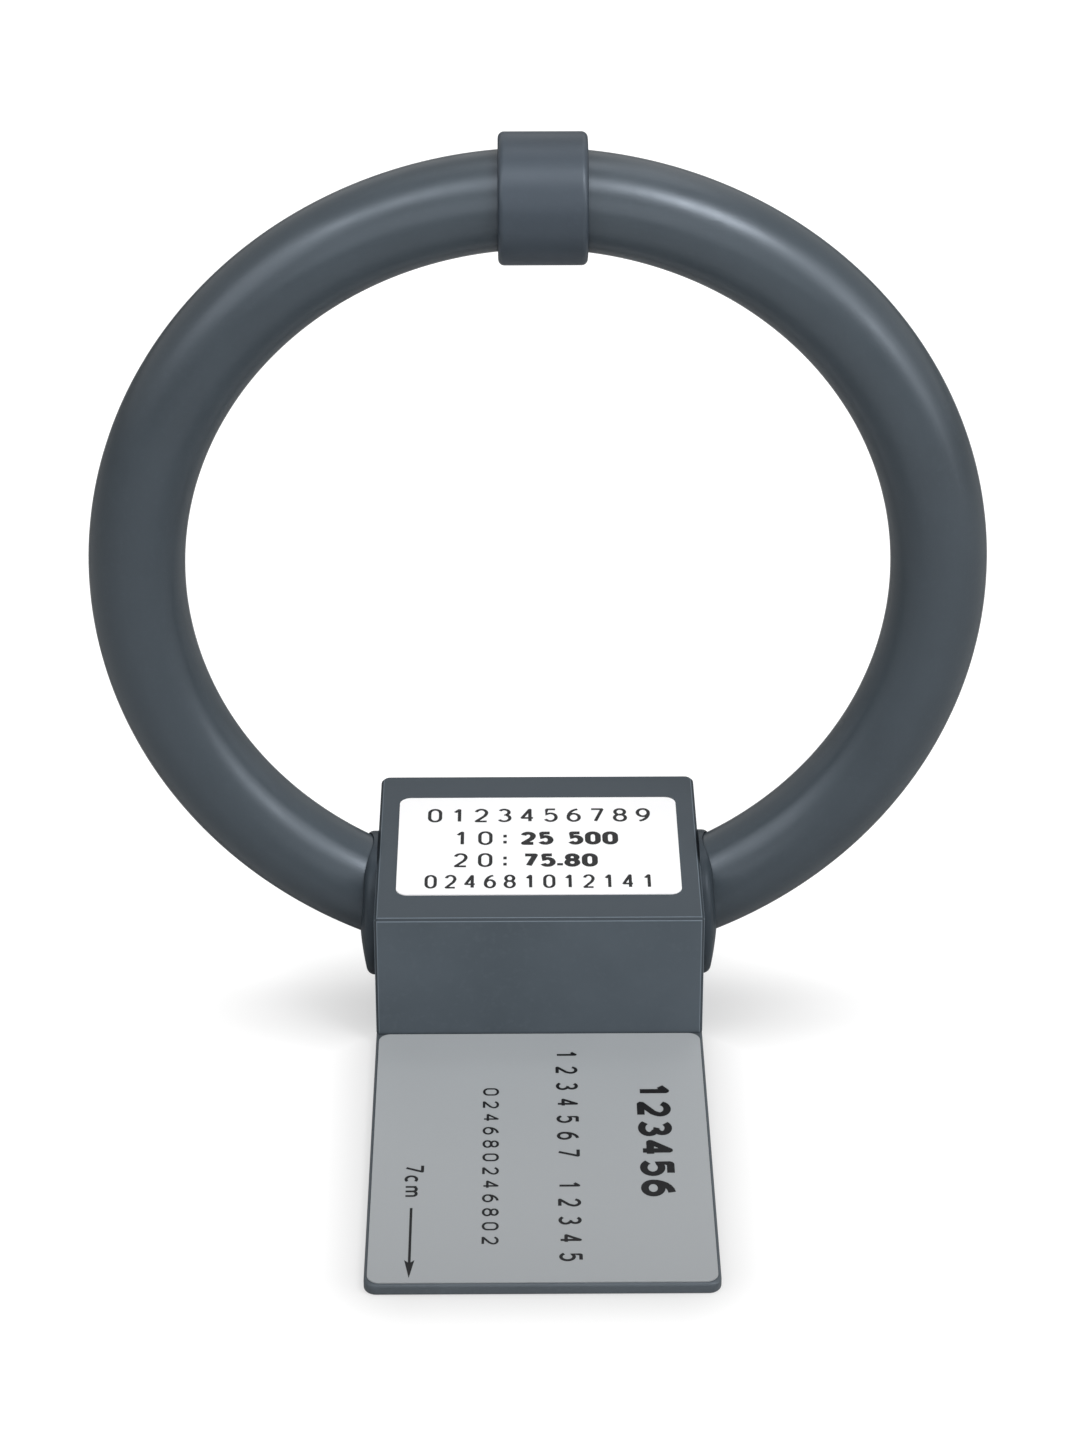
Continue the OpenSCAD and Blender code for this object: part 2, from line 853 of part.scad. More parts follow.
// Lead from the left post over the winding into the contact's solder cup
module signal_lead() {
    bow = terminal_d / 2;
    color("white")
        wire([
            post_side(-1, post_lean[0], post_lean[1]),
            [-terminal_pitch / 2 + bow, depth_at(0.15), solder_z],
            [-terminal_pitch * 0.3, depth_at(0.38), board_low + wire_d],
            [-terminal_pitch * 0.15, depth_at(0.51), board_low + wire_d + wire_r],
            [-wire_r, depth_at(0.675), flange_z + contact_d],
            [0, depth_at(0.89), flange_z + wire_r],
            [0, contact_end_y - wire_r, flange_z],
            [0, contact_end_y + contact_bore, flange_z]]);
}

// Lead from the right post over the winding to the ground tag
module ground_lead() {
    bow = terminal_d / 3;
    color("black")
        wire([
            post_side(1, -post_lean[0], post_lean[1]),
            [terminal_pitch / 2 - bow, depth_at(0.15), solder_z],
            [terminal_pitch * 0.4, depth_at(0.38), board_low + wire_d],
            [terminal_pitch * 0.45, depth_at(0.51), board_low + wire_d + wire_r],
            [terminal_pitch * 0.65, depth_at(0.69), flange_z + tag_w],
            [tag_x + wire_r, depth_at(0.99), flange_z + tag_w - wire_r],
            [tag_x + wire_r, tag_front - tag_w * 0.4, flange_z + 2 * wire_d],
            [tag_x, tag_front, flange_z + wire_d]]);
}

// Wires from the screen's lower ends through the spigots to the ground tag
module screen_leads() {
    lift = screen_id / 2 - wire_r - solder_gap;
    start_x = seat_x + tube_wall;
    inner_end = inner_x - lock_nut_t - spigot_tail - 2 * wire_d;
    color("green")
        for (sign = [-1, 1])
            wire([
                [sign * start_x, lift * 0.8, winding_z(start_x) - lift * 0.6],
                [sign * (seat_x - wire_d), lift * 0.72, flange_z + wire_r],
                [sign * (inner_x - wire_d), spigot_bore * 0.35, flange_z],
                [sign * inner_end, spigot_bore * 0.42, flange_z - wire_r],
                [sign * (tag_x + tag_w), depth_at(0.95), flange_z - wire_d],
                [sign * (tag_x + wire_r), tag_front - tag_w * 0.4, flange_z - wire_d - wire_r / 2],
                [sign * tag_x, tag_front, flange_z - wire_d]]);
}

ring_tube_right();
ring_tube_left();
top_collar();
screen_right();
screen_left();
screen_gap_ring();
winding();
winding_sleeve();
winding_spacers();
flange_right();
flange_left();
lock_nut_right();
lock_nut_left();
housing_shell();
base_plate();
base_screws();
top_label();
tongue_label();
jack_body();
jack_insulator();
jack_contact();
jack_nut();
jack_washer();
ground_tag();
terminal_board();
board_screws();
terminal_posts();
winding_leads();
signal_lead();
ground_lead();
screen_leads();
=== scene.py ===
"""Looks of a small shielded loop antenna: a grey tube ring on a housing with a tongue."""

import json  # noqa: E402
import logging  # noqa: E402
import math  # noqa: E402
from collections.abc import Callable, Iterable, Sequence  # noqa: E402
from dataclasses import dataclass, field  # noqa: E402
from enum import Enum  # noqa: E402
from typing import ClassVar  # noqa: E402

import bmesh  # noqa: E402
import bpy  # noqa: E402
from bmesh.types import BMEdge, BMesh, BMFace, BMVert  # noqa: E402
from bpy.types import Material, Node, NodeSocket, NodeTree, Object  # noqa: E402
from mathutils import Matrix, Vector  # noqa: E402


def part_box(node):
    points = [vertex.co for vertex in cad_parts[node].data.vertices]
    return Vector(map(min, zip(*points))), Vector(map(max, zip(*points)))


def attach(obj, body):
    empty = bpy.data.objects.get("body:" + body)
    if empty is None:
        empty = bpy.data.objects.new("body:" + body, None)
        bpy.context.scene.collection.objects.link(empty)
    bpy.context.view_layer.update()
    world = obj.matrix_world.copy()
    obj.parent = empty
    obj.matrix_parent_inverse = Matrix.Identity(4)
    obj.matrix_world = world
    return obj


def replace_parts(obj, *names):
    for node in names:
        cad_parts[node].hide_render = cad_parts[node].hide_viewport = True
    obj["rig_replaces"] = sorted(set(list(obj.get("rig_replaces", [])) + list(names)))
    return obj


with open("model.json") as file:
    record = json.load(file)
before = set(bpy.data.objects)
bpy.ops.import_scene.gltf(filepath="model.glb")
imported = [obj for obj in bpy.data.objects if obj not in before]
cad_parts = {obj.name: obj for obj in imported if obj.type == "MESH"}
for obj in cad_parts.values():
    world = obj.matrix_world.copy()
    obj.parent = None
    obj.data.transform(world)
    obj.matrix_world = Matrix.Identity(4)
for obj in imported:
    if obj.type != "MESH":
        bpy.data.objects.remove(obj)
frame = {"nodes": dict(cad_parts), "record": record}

log = logging.getLogger("loop_antenna")

MM = 0.001
BODY = "root"
WHITE = (1.0, 1.0, 1.0, 1.0)
# Distance below which two places count as one, and the one within which doubles are merged
TINY, DOUBLE = 1e-6, 0.5e-6
# How far a cutter reaches past what it cuts
PAST = 1 * MM
# Angles in radians between two faces from which their edge is a crease, slanted, and square
CREASE, SLANTED, SQUARE = math.radians(28), 0.5, 1.2

# What a shader's socket takes
Input = NodeSocket | float | Sequence[float]
# A place in a section or on a label, and a line of such places
Point = tuple[float, float]
Path = list[Point]


class Axis(Enum):
    """A direction to turn about, with the direction that a radius is drawn in."""

    X = ((1.0, 0.0, 0.0), (0.0, 0.0, 1.0))
    Y = ((0.0, 1.0, 0.0), (0.0, 0.0, 1.0))
    Z = ((0.0, 0.0, 1.0), (1.0, 0.0, 0.0))

    @property
    def along(self) -> Vector:
        """The axis itself."""
        return Vector(self.value[0])

    @property
    def radial(self) -> Vector:
        """The direction of a drawn radius."""
        return Vector(self.value[1])


class Side(Enum):
    """The two sides of the antenna."""

    RIGHT = 1
    LEFT = -1

    @property
    def word(self) -> str:
        """The side's name in node names."""
        return self.name.lower()


def linear(red: float, green: float, blue: float) -> tuple[float, ...]:
    """Turns a screen colour, from 0 to 255, into the linear colour that a shader takes."""
    parts = [c / 255 for c in (red, green, blue)]
    return (*(c / 12.92 if c <= 0.04045 else ((c + 0.055) / 1.055) ** 2.4 for c in parts), 1.0)


def scaled(colour: Sequence[float], gain: float, lift: float = 0.0) -> tuple[float, ...]:
    """A linear colour made lighter or darker."""
    return (*(c * gain + lift for c in colour[:3]), 1.0)


class Graph:
    """Adds nodes to a shader tree and joins them up."""

    def __init__(self, tree: NodeTree) -> None:
        """Starts on the tree of a material or the world."""
        self.nodes, self.links = tree.nodes, tree.links

    def feed(self, socket: NodeSocket, value: Input) -> None:
        """Links a node's output to a socket, or sets the socket's own value.

        Args:
            socket: The socket.
            value: A node's output, a number or a colour.
        """
        if isinstance(value, NodeSocket):
            self.links.new(value, socket)
        else:
            socket.default_value = value

    def add(self, kind: str, inputs: dict[str | int, Input] | None = None,
            **settings: str) -> Node:
        """Adds a node.

        Args:
            kind: Its type, without the words that all shader nodes share.
            inputs: What its sockets get, by name or number.
            settings: Its own options, set before its sockets.

        Returns:
            The node.
        """
        node = self.nodes.new(f"ShaderNode{kind}")
        for option, choice in settings.items():
            setattr(node, option, choice)
        for key, value in (inputs or {}).items():
            self.feed(node.inputs[key], value)
        return node

    def math(self, operation: str, *values: Input) -> NodeSocket:
        """One sum on numbers."""
        return self.add("Math", dict(enumerate(values)), operation=operation).outputs[0]

    def vector(self, operation: str, *values: Input) -> NodeSocket:
        """One sum on vectors."""
        node = self.add("VectorMath", dict(enumerate(values)), operation=operation)
        return node.outputs["Value" if operation == "LENGTH" else "Vector"]

    def spread(self, value: NodeSocket, low: float, high: float, start: float = 0.3,
               end: float = 0.7, kind: str = "LINEAR") -> NodeSocket:
        """Maps a value onto another range.

        Args:
            value: The value to map.
            low: Result at start.
            high: Result at end.
            start: Value that gives low.
            end: Value that gives high.
            kind: How the result goes from low to high.

        Returns:
            The mapped value.
        """
        return self.add("MapRange", {"Value": value, "From Min": start, "From Max": end,
                                     "To Min": low, "To Max": high},
                        interpolation_type=kind).outputs["Result"]


class Recipe(Graph):
    """A procedural material on Object coordinates, with one principled shader."""

    # Share of a plastic's gloss that is left at its rim, and the facing values where it fades
    rim_share, rim_start, rim_end = 0.06, 0.15, 0.75

    def __init__(self, name: str) -> None:
        """Starts the material.

        Args:
            name: Its name.
        """
        self.material = bpy.data.materials.new(name)
        self.material.use_nodes = True
        super().__init__(self.material.node_tree)
        self.shader = self.nodes["Principled BSDF"]
        self.coords = self.add("TexCoord").outputs["Object"]

    def noise(self, grain: float, detail: float = 2.0, rough: float = 0.5,
              stretch: Sequence[float] = (1.0, 1.0, 1.0)) -> NodeSocket:
        """Noise whose features are about as wide as grain.

        Args:
            grain: Width of a feature in metres.
            detail: Octaves of finer noise.
            rough: Share of each finer octave.
            stretch: Factor on the coordinates for each axis.

        Returns:
            The noise value, from 0 to 1.
        """
        mapped = self.add("Mapping", {"Vector": self.coords, "Scale": stretch}).outputs["Vector"]
        return self.add("TexNoise", {"Vector": mapped, "Scale": 1 / grain, "Detail": detail,
                                     "Roughness": rough}).outputs["Fac"]

    def blend(self, share: NodeSocket, first: Input, second: Input) -> NodeSocket:
        """Mixes two colours, with share as how much of the second one shows."""
        inputs = {"Factor": share, 6: first, 7: second}
        return self.add("Mix", inputs, data_type="RGBA").outputs[2]

    def bump(self, height: NodeSocket, depth: float, strength: float = 1.0,
             under: NodeSocket | None = None) -> NodeSocket:
        """Bumps the surface with a height value.

        Args:
            height: The height, from 0 to 1.
            depth: Real height of the relief in metres.
            strength: Share of the bump that is used.
            under: A bump that lies below this one.

        Returns:
            The bent normal.
        """
        inputs = {"Height": height, "Distance": depth, "Strength": strength}
        if under is not None:
            inputs["Normal"] = under
        return self.add("Bump", inputs).outputs["Normal"]

    def rim_gloss(self, level: float) -> NodeSocket:
        """A gloss that fades from level towards the rim, as on a matt surface."""
        facing = self.add("LayerWeight", {"Blend": 0.5}).outputs["Facing"]
        return self.spread(facing, level, self.rim_share * level, self.rim_start, self.rim_end)

    def plug(self, socket: str, value: Input) -> None:
        """Sets one input of the shader."""
        self.feed(self.shader.inputs[socket], value)


@dataclass(frozen=True)
class GreyPlastic:
    """Semi-matt plastic, cut or moulded, with faint clouds, a fine grain and long waves."""

    name: str
    colour: tuple[float, float, float]
    roughness: float = 0.30
    gloss: float = 0.5
    tint: tuple[float, float, float] = (0.80, 0.885, 1.0)
    clouds: float = 0.10
    cloud_size: float = 22 * MM
    speck_size: float = 0.99 * MM
    speck_gain: float = 1.16
    speck_share: float = 0.35
    scuff_size: float = 6 * MM
    smoother: float = 0.02
    rougher: float = 0.05
    grain_size: float = 0.45 * MM
    grain_depth: float = 0.008 * MM
    wave_size: float = 9 * MM
    wave_depth: float = 0.03 * MM

    def make(self) -> Material:
        """Builds the material.

        Returns:
            The material.
        """
        r = Recipe(self.name)
        base = linear(*self.colour)
        clouds = r.spread(r.noise(self.cloud_size, detail=3.0, rough=0.55), 0.0, 1.0)
        tone = r.blend(clouds, scaled(base, 1 - self.clouds), scaled(base, 1 + self.clouds))
        specks = r.noise(self.speck_size, detail=1.0)
        speck_share = r.spread(specks, 0.0, self.speck_share, start=0.55, end=0.75)
        face = r.blend(speck_share, tone, scaled(base, self.speck_gain))
        # A block's finish paints light and shade onto the colour here
        r.plug("Base Color", self.edged(r, base, face))
        scuffs = r.noise(self.scuff_size, detail=4.0, rough=0.6)
        r.plug("Roughness", r.spread(scuffs, self.roughness - self.smoother,
                                     self.roughness + self.rougher))
        r.plug("Specular IOR Level", r.rim_gloss(self.gloss))
        r.plug("Specular Tint", (*self.tint, 1.0))
        waves = r.bump(r.noise(self.wave_size, detail=1.0), self.wave_depth, strength=0.5)
        grain = r.noise(self.grain_size, detail=2.0, rough=0.6)
        r.plug("Normal", r.bump(grain, self.grain_depth, under=waves))
        return r.material

    def edged(self, r: Recipe, base: Sequence[float], face: NodeSocket) -> NodeSocket:
        """The colour with the light and shade painted on it; plain plastic has none."""
        return face


@dataclass(frozen=True)
class BlockPlastic(GreyPlastic):
    """The same plastic on a block, with painted light and shade: painted shade on the top and on
    the bevels' strip, painted highlights along the bevels' borders and a painted shadow at the
    foot.
    """

    piece: str = "housing_shell"
    bevel: float = 0.5 * MM
    # Painted shade on the top face: how deep it starts and how much it darkens
    top_start: float = 0.1 * MM
    top_gain: float = 0.76
    # Painted highlights along the bevel's two borders: their reach, their core and how much they
    # lighten; then the painted shade on the strip between them
    line: float = 0.10 * MM
    line_core: float = 0.03 * MM
    line_gain: float = 1.9
    strip_gain: float = 0.5
    # Painted shadow at the foot: its height and how much it darkens
    foot: float = 0.7 * MM
    foot_gain: float = 0.62

    def edged(self, r: Recipe, base: Sequence[float], face: NodeSocket) -> NodeSocket:
        """Paints light and shade over the colour: painted shade on the top and on the bevel's
        strip, painted highlights along the bevel's borders and a painted shadow at the foot.

        Args:
            r: The recipe of the material.
            base: The plain colour.
            face: The colour of the faces.

        Returns:
            The colour with its painted light and shade.
        """
        low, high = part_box(self.piece)
        across, along, down = self.depths(r, low, high)
        inner = r.math("MAXIMUM", r.math("MINIMUM", across, along),
                       r.math("MINIMUM", r.math("MAXIMUM", across, along), down))
        off = r.math("ABSOLUTE", r.math("SUBTRACT", inner, self.bevel))
        height = high.z - low.z
        # Painted shade on the top, painted shade on the bevel's strip, painted highlights along
        # its borders and a painted shadow at the foot
        painted_layers = (
            (r.spread(down, 1.0, 0.0, self.top_start, self.bevel), self.top_gain),
            (r.spread(inner, 1.0, 0.0, self.bevel - self.line, self.bevel), self.strip_gain),
            (r.spread(off, 1.0, 0.0, self.line_core, self.line), self.line_gain),
            (r.spread(down, 0.0, 1.0, height - self.foot, height), self.foot_gain),
        )
        for share, gain in painted_layers:
            face = r.blend(share, face, scaled(base, gain))
        return face

    @staticmethod
    def depths(r: Recipe, low: Vector, high: Vector) -> list[NodeSocket]:
        """How far a place lies inside the block's sides, its ends and its top.

        Args:
            r: The recipe of the material.
            low: Lowest corner of the block.
            high: Highest corner of the block.

        Returns:
            The three depths.
        """
        x, y, z = r.add("SeparateXYZ", {0: r.coords}).outputs
        found = []
        for place, start, end in ((x, low.x, high.x), (y, low.y, high.y)):
            off = r.math("ABSOLUTE", r.math("SUBTRACT", place, (start + end) / 2))
            found.append(r.math("SUBTRACT", (end - start) / 2, off))
        return [*found, r.math("SUBTRACT", high.z, z)]


@dataclass(frozen=True)
class Film:
    """Printed label film: almost even, with a faint fibre and a satin face, and painted shade that
    can darken it towards the front.
    """

    name: str
    colour: tuple[float, float, float]
    roughness: float
    rougher: float = 0.06
    speck: float = 0.03
    drift_size: float = 30 * MM
    fibre_size: float = 0.35 * MM
    fibre_depth: float = 0.004 * MM
    # Painted shade towards the front: the gain at the front, fading out between these two places
    # towards the back
    front_gain: float = 1.0
    front_y: float = -94 * MM
    back_y: float = -30 * MM

    def make(self) -> Material:
        """Builds the material.

        Returns:
            The material.
        """
        r = Recipe(self.name)
        base = linear(*self.colour)
        shade = scaled(base, 1 - self.speck)
        drift = r.noise(self.drift_size, detail=2.0)
        fibre = r.noise(self.fibre_size, detail=3.0, rough=0.7)
        tone = r.blend(r.spread(drift, 0.0, 0.6), base, shade)
        tone = r.blend(r.spread(fibre, 0.0, 0.5), tone, shade)
        y = r.add("SeparateXYZ", {0: r.coords}).outputs[1]
        # Painted shade: the film grows darker towards the front
        front_shade = r.spread(y, 1.0, 0.0, self.front_y, self.back_y)
        r.plug("Base Color", r.blend(front_shade, tone, scaled(base, self.front_gain)))
        r.plug("Roughness", r.spread(fibre, self.roughness, self.roughness + self.rougher))
        r.plug("Normal", r.bump(fibre, self.fibre_depth, strength=0.6))
        return r.material


@dataclass(frozen=True)
class Ink:
    """Screen-printed ink, slightly uneven in density."""

    name: str
    colour: tuple[float, float, float]
    patch: float = 0.5 * MM
    thin_gain: float = 1.6
    thin_lift: float = 0.004
    roughness: float = 0.42
    rougher: float = 0.16
    gloss: float = 0.15

    def make(self) -> Material:
        """Builds the material.

        Returns:
            The material.
        """
        r = Recipe(self.name)
        base = linear(*self.colour)
        density = r.noise(self.patch, detail=3.0, rough=0.65)
        thin = scaled(base, self.thin_gain, self.thin_lift)
        r.plug("Base Color", r.blend(r.spread(density, 0.0, 0.5), base, thin))
        r.plug("Roughness", r.spread(density, self.roughness, self.roughness + self.rougher))
        r.plug("Specular IOR Level", self.gloss)
        return r.material


@dataclass(frozen=True)
class Metal:
    """Plated or bare metal with fine turning or brushing marks."""

    name: str
    colour: tuple[float, float, float]
    roughness: float
    smoother: float = 0.05
    rougher: float = 0.08
    mark_size: float = 0.12 * MM
    mark_depth: float = 0.004 * MM
    stretch: tuple[float, float, float] = (1.0, 8.0, 1.0)
    patch: float = 5 * MM
    tarnish: tuple[float, float, float] = (120.0, 112.0, 98.0)
    tarnish_share: float = 0.2

    def make(self) -> Material:
        """Builds the material.

        Returns:
            The material.
        """
        r = Recipe(self.name)
        marks = r.noise(self.mark_size, detail=2.0, stretch=self.stretch)
        patches = r.noise(self.patch, detail=4.0, rough=0.6)
        share = r.spread(patches, 0.0, self.tarnish_share, start=0.45, end=0.75)
        r.plug("Base Color", r.blend(share, linear(*self.colour), linear(*self.tarnish)))
        r.plug("Metallic", 1.0)
        r.plug("Roughness", r.spread(marks, self.roughness - self.smoother,
                                     self.roughness + self.rougher))
        r.plug("Normal", r.bump(marks, self.mark_depth, strength=0.5))
        return r.material


@dataclass(frozen=True)
class SoftPlastic:
    """Insulation, foam and board material of the inner pieces."""

    name: str
    colour: tuple[float, float, float]
    roughness: float = 0.5
    smoother: float = 0.05
    rougher: float = 0.08
    cell: float = 0.6 * MM
    relief: float = 0.02 * MM
    contrast: float = 0.12

    def make(self) -> Material:
        """Builds the material.

        Returns:
            The material.
        """
        r = Recipe(self.name)
        base = linear(*self.colour)
        cells = r.noise(self.cell, detail=3.0, rough=0.6)
        dark = scaled(base, 1 - self.contrast)
        r.plug("Base Color", r.blend(r.spread(cells, 0.0, 1.0), base, dark))
        r.plug("Roughness", r.spread(cells, self.roughness - self.smoother,
                                     self.roughness + self.rougher))
        r.plug("Normal", r.bump(cells, self.relief, strength=0.7))
        return r.material


@dataclass(frozen=True)
class WireCoat(SoftPlastic):
    """The smooth coat of a hook-up wire."""

    roughness: float = 0.38
    relief: float = 0.005 * MM


class Paintbox:
    """Makes each finish once and hands it out by name."""

    # The stretch of marks that run no way in particular
    EVEN = (1.0, 1.0, 1.0)
    FINISHES = {finish.name: finish for finish in (
        GreyPlastic("ring_grey", (49, 57, 63), gloss=0.66),
        GreyPlastic("collar_grey", (51, 59, 67), roughness=0.38),
        GreyPlastic("flange_grey", (52, 59, 65), gloss=0.15),
        # The housing's finish paints shade, highlights and a shadow along its top, bevels and foot
        BlockPlastic("housing_grey", (81, 89, 96), 0.40, gloss=0.12, grain_depth=0.01 * MM),
        GreyPlastic("plate_grey", (73, 79, 84), roughness=0.34, gloss=0.3),
        Film("white_label", (252, 252, 253), 0.30, speck=0.01),
        # The tongue's film carries painted shade, darker towards its front
        Film("tongue_label", (166, 170, 173), 0.42, speck=0.05, front_gain=0.73),
        Ink("print_black", (15, 15, 17)),
        Metal("nickel", (196, 193, 184), 0.24),
        Metal("gold", (226, 188, 108), 0.22, tarnish=(168, 128, 60)),
        Metal("steel", (178, 180, 182), 0.34, mark_size=0.2 * MM, stretch=EVEN),
        Metal("copper", (214, 140, 98), 0.30, mark_size=0.3 * MM, tarnish=(120, 70, 45)),
        Metal("enamelled_wire", (150, 62, 40), 0.32, mark_size=0.25 * MM, stretch=EVEN,
              tarnish=(90, 34, 22)),
        SoftPlastic("insulator", (232, 230, 222), 0.38, relief=0.006 * MM, contrast=0.05),
        SoftPlastic("spacer_foam", (236, 236, 232), 0.75, cell=0.5 * MM, relief=0.08 * MM),
        SoftPlastic("sleeve_black", (30, 30, 32), 0.45, cell=1.2 * MM),
        SoftPlastic("board_brown", (140, 96, 56), 0.5, cell=0.9 * MM, contrast=0.3),
        WireCoat("wire_red", (166, 40, 34)),
        WireCoat("wire_white", (228, 228, 224)),
        WireCoat("wire_black", (28, 28, 30)),
        WireCoat("wire_green", (42, 108, 58)),
    )}

    def __init__(self) -> None:
        """Starts with no material made."""
        self.made: dict[str, Material] = {}

    def get(self, name: str) -> Material:
        """Hands out a finish.

        Args:
            name: The finish's name, which is the record's slot name where it has one.

        Returns:
            The material.
        """
        if name not in self.made:
            self.made[name] = self.FINISHES[name].make()
        return self.made[name]


PAINT = Paintbox()


def is_upright(edge: BMEdge) -> bool:
    """Whether an edge's ends differ in height."""
    return abs(edge.verts[0].co.z - edge.verts[1].co.z) > TINY


def is_square(edge: BMEdge) -> bool:
    """Whether the faces at an edge meet at about a right angle."""
    return edge.calc_face_angle(0.0) > SQUARE


def edges_where(bm: BMesh, test: Callable[[Vector], bool]) -> list[BMEdge]:
    """Edges whose both ends pass a test."""
    return [e for e in bm.edges if test(e.verts[0].co) and test(e.verts[1].co)]


def edges_at(bm: BMesh, axis: str, level: float) -> list[BMEdge]:
    """Edges that lie where one coordinate, x, y or z, has a level."""
    return edges_where(bm, lambda co: abs(getattr(co, axis) - level) < TINY)


def everything(bm: BMesh) -> list[BMVert | BMEdge | BMFace]:
    """All corners, edges and faces of a mesh."""
    return bm.verts[:] + bm.edges[:] + bm.faces[:]


def soften(bm: BMesh, edges: Iterable[BMEdge], width: float, steps: int = 4) -> None:
    """Rounds edges.

    Args:
        bm: The mesh.
        edges: The edges to round.
        width: Width of the rounding in metres.
        steps: Segments across it.
    """
    bmesh.ops.bevel(bm, geom=list(edges), offset=width, offset_type="OFFSET", segments=steps,
                    profile=0.5, affect="EDGES", clamp_overlap=True, material=-1)


def close_up(bm: BMesh) -> None:
    """Merges doubles and turns every face outwards."""
    bmesh.ops.remove_doubles(bm, verts=bm.verts, dist=DOUBLE)
    bmesh.ops.recalc_face_normals(bm, faces=bm.faces)


def object_of(bm: BMesh, name: str) -> Object:
    """Makes an object of a mesh, with smooth faces and sharp creases.

    Args:
        bm: The mesh, which is freed.
        name: The object's name.

    Returns:
        The object, linked to the scene.
    """
    for face in bm.faces:
        face.smooth = True
    for edge in bm.edges:
        edge.smooth = not (len(edge.link_faces) == 2 and edge.calc_face_angle(0.0) > CREASE)
    mesh = bpy.data.meshes.new(name)
    bm.to_mesh(mesh)
    bm.free()
    made = bpy.data.objects.new(name, mesh)
    bpy.context.scene.collection.objects.link(made)
    return made


def drop(thing: Object) -> None:
    """Removes a helper object with its mesh.

    Args:
        thing: The object.
    """
    mesh = thing.data
    bpy.data.objects.remove(thing)
    bpy.data.meshes.remove(mesh)


def carved(bm: BMesh, cutters: Sequence[BMesh]) -> BMesh:
    """Cuts shapes out of a mesh.

    Args:
        bm: The mesh to cut, which is freed.
        cutters: Closed shapes to cut away, which are freed.

    Returns:
        The cut mesh.
    """
    body = object_of(bm, "carving_body")
    tools = [object_of(c, f"carving_tool_{i}") for i, c in enumerate(cutters)]
    for tool in tools:
        cut = body.modifiers.new("cut", "BOOLEAN")
        cut.operation = "DIFFERENCE"
        cut.solver = "EXACT"
        cut.object = tool
    result = bmesh.new()
    result.from_object(body, bpy.context.evaluated_depsgraph_get())
    for helper in [body, *tools]:
        drop(helper)
    bmesh.ops.remove_doubles(result, verts=result.verts, dist=DOUBLE)
    bmesh.ops.dissolve_degenerate(result, edges=result.edges, dist=DOUBLE)
    return result


def merged(parts: Sequence[BMesh]) -> BMesh:
    """Joins closed shapes into one mesh without touching their faces.

    Args:
        parts: The shapes, which are freed.

    Returns:
        One mesh that holds them all.
    """
    whole = bmesh.new()
    for part in parts:
        mesh = bpy.data.meshes.new("joining")
        part.to_mesh(mesh)
        part.free()
        whole.from_mesh(mesh)
        bpy.data.meshes.remove(mesh)
    return whole


def dress(bm: BMesh, name: str, finish: str, node: str) -> Object:
    """Makes a piece that stands for a node, with its finish, even normals and its body.

    Args:
        bm: The piece's mesh, which is freed.
        name: The piece's name.
        finish: Name of its finish, which is the record's slot too.
        node: Name of the node.

    Returns:
        The piece.
    """
    made = object_of(bm, name)
    made.data.materials.append(PAINT.get(finish))
    even = made.modifiers.new("even_normals", "WEIGHTED_NORMAL")
    even.keep_sharp = True
    even.weight = 60
    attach(made, BODY)
    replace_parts(made, node)
    log.info("%s: %d faces", name, len(made.data.polygons))
    return made


def arc(centre: Point, radius: float, start: float, end: float, steps: int) -> Path:
    """Points of a round line in a turned piece's section.

    Args:
        centre: Its centre as distance along the axis and radius.
        radius: Its own radius.
        start: Angle from the axis at its start.
        end: Angle from the axis at its end.
        steps: Number of stretches.

    Returns:
        The points from start to end.
    """
    turns = [start + (end - start) * i / steps for i in range(steps + 1)]
    return [(centre[0] + radius * math.cos(t), centre[1] + radius * math.sin(t)) for t in turns]


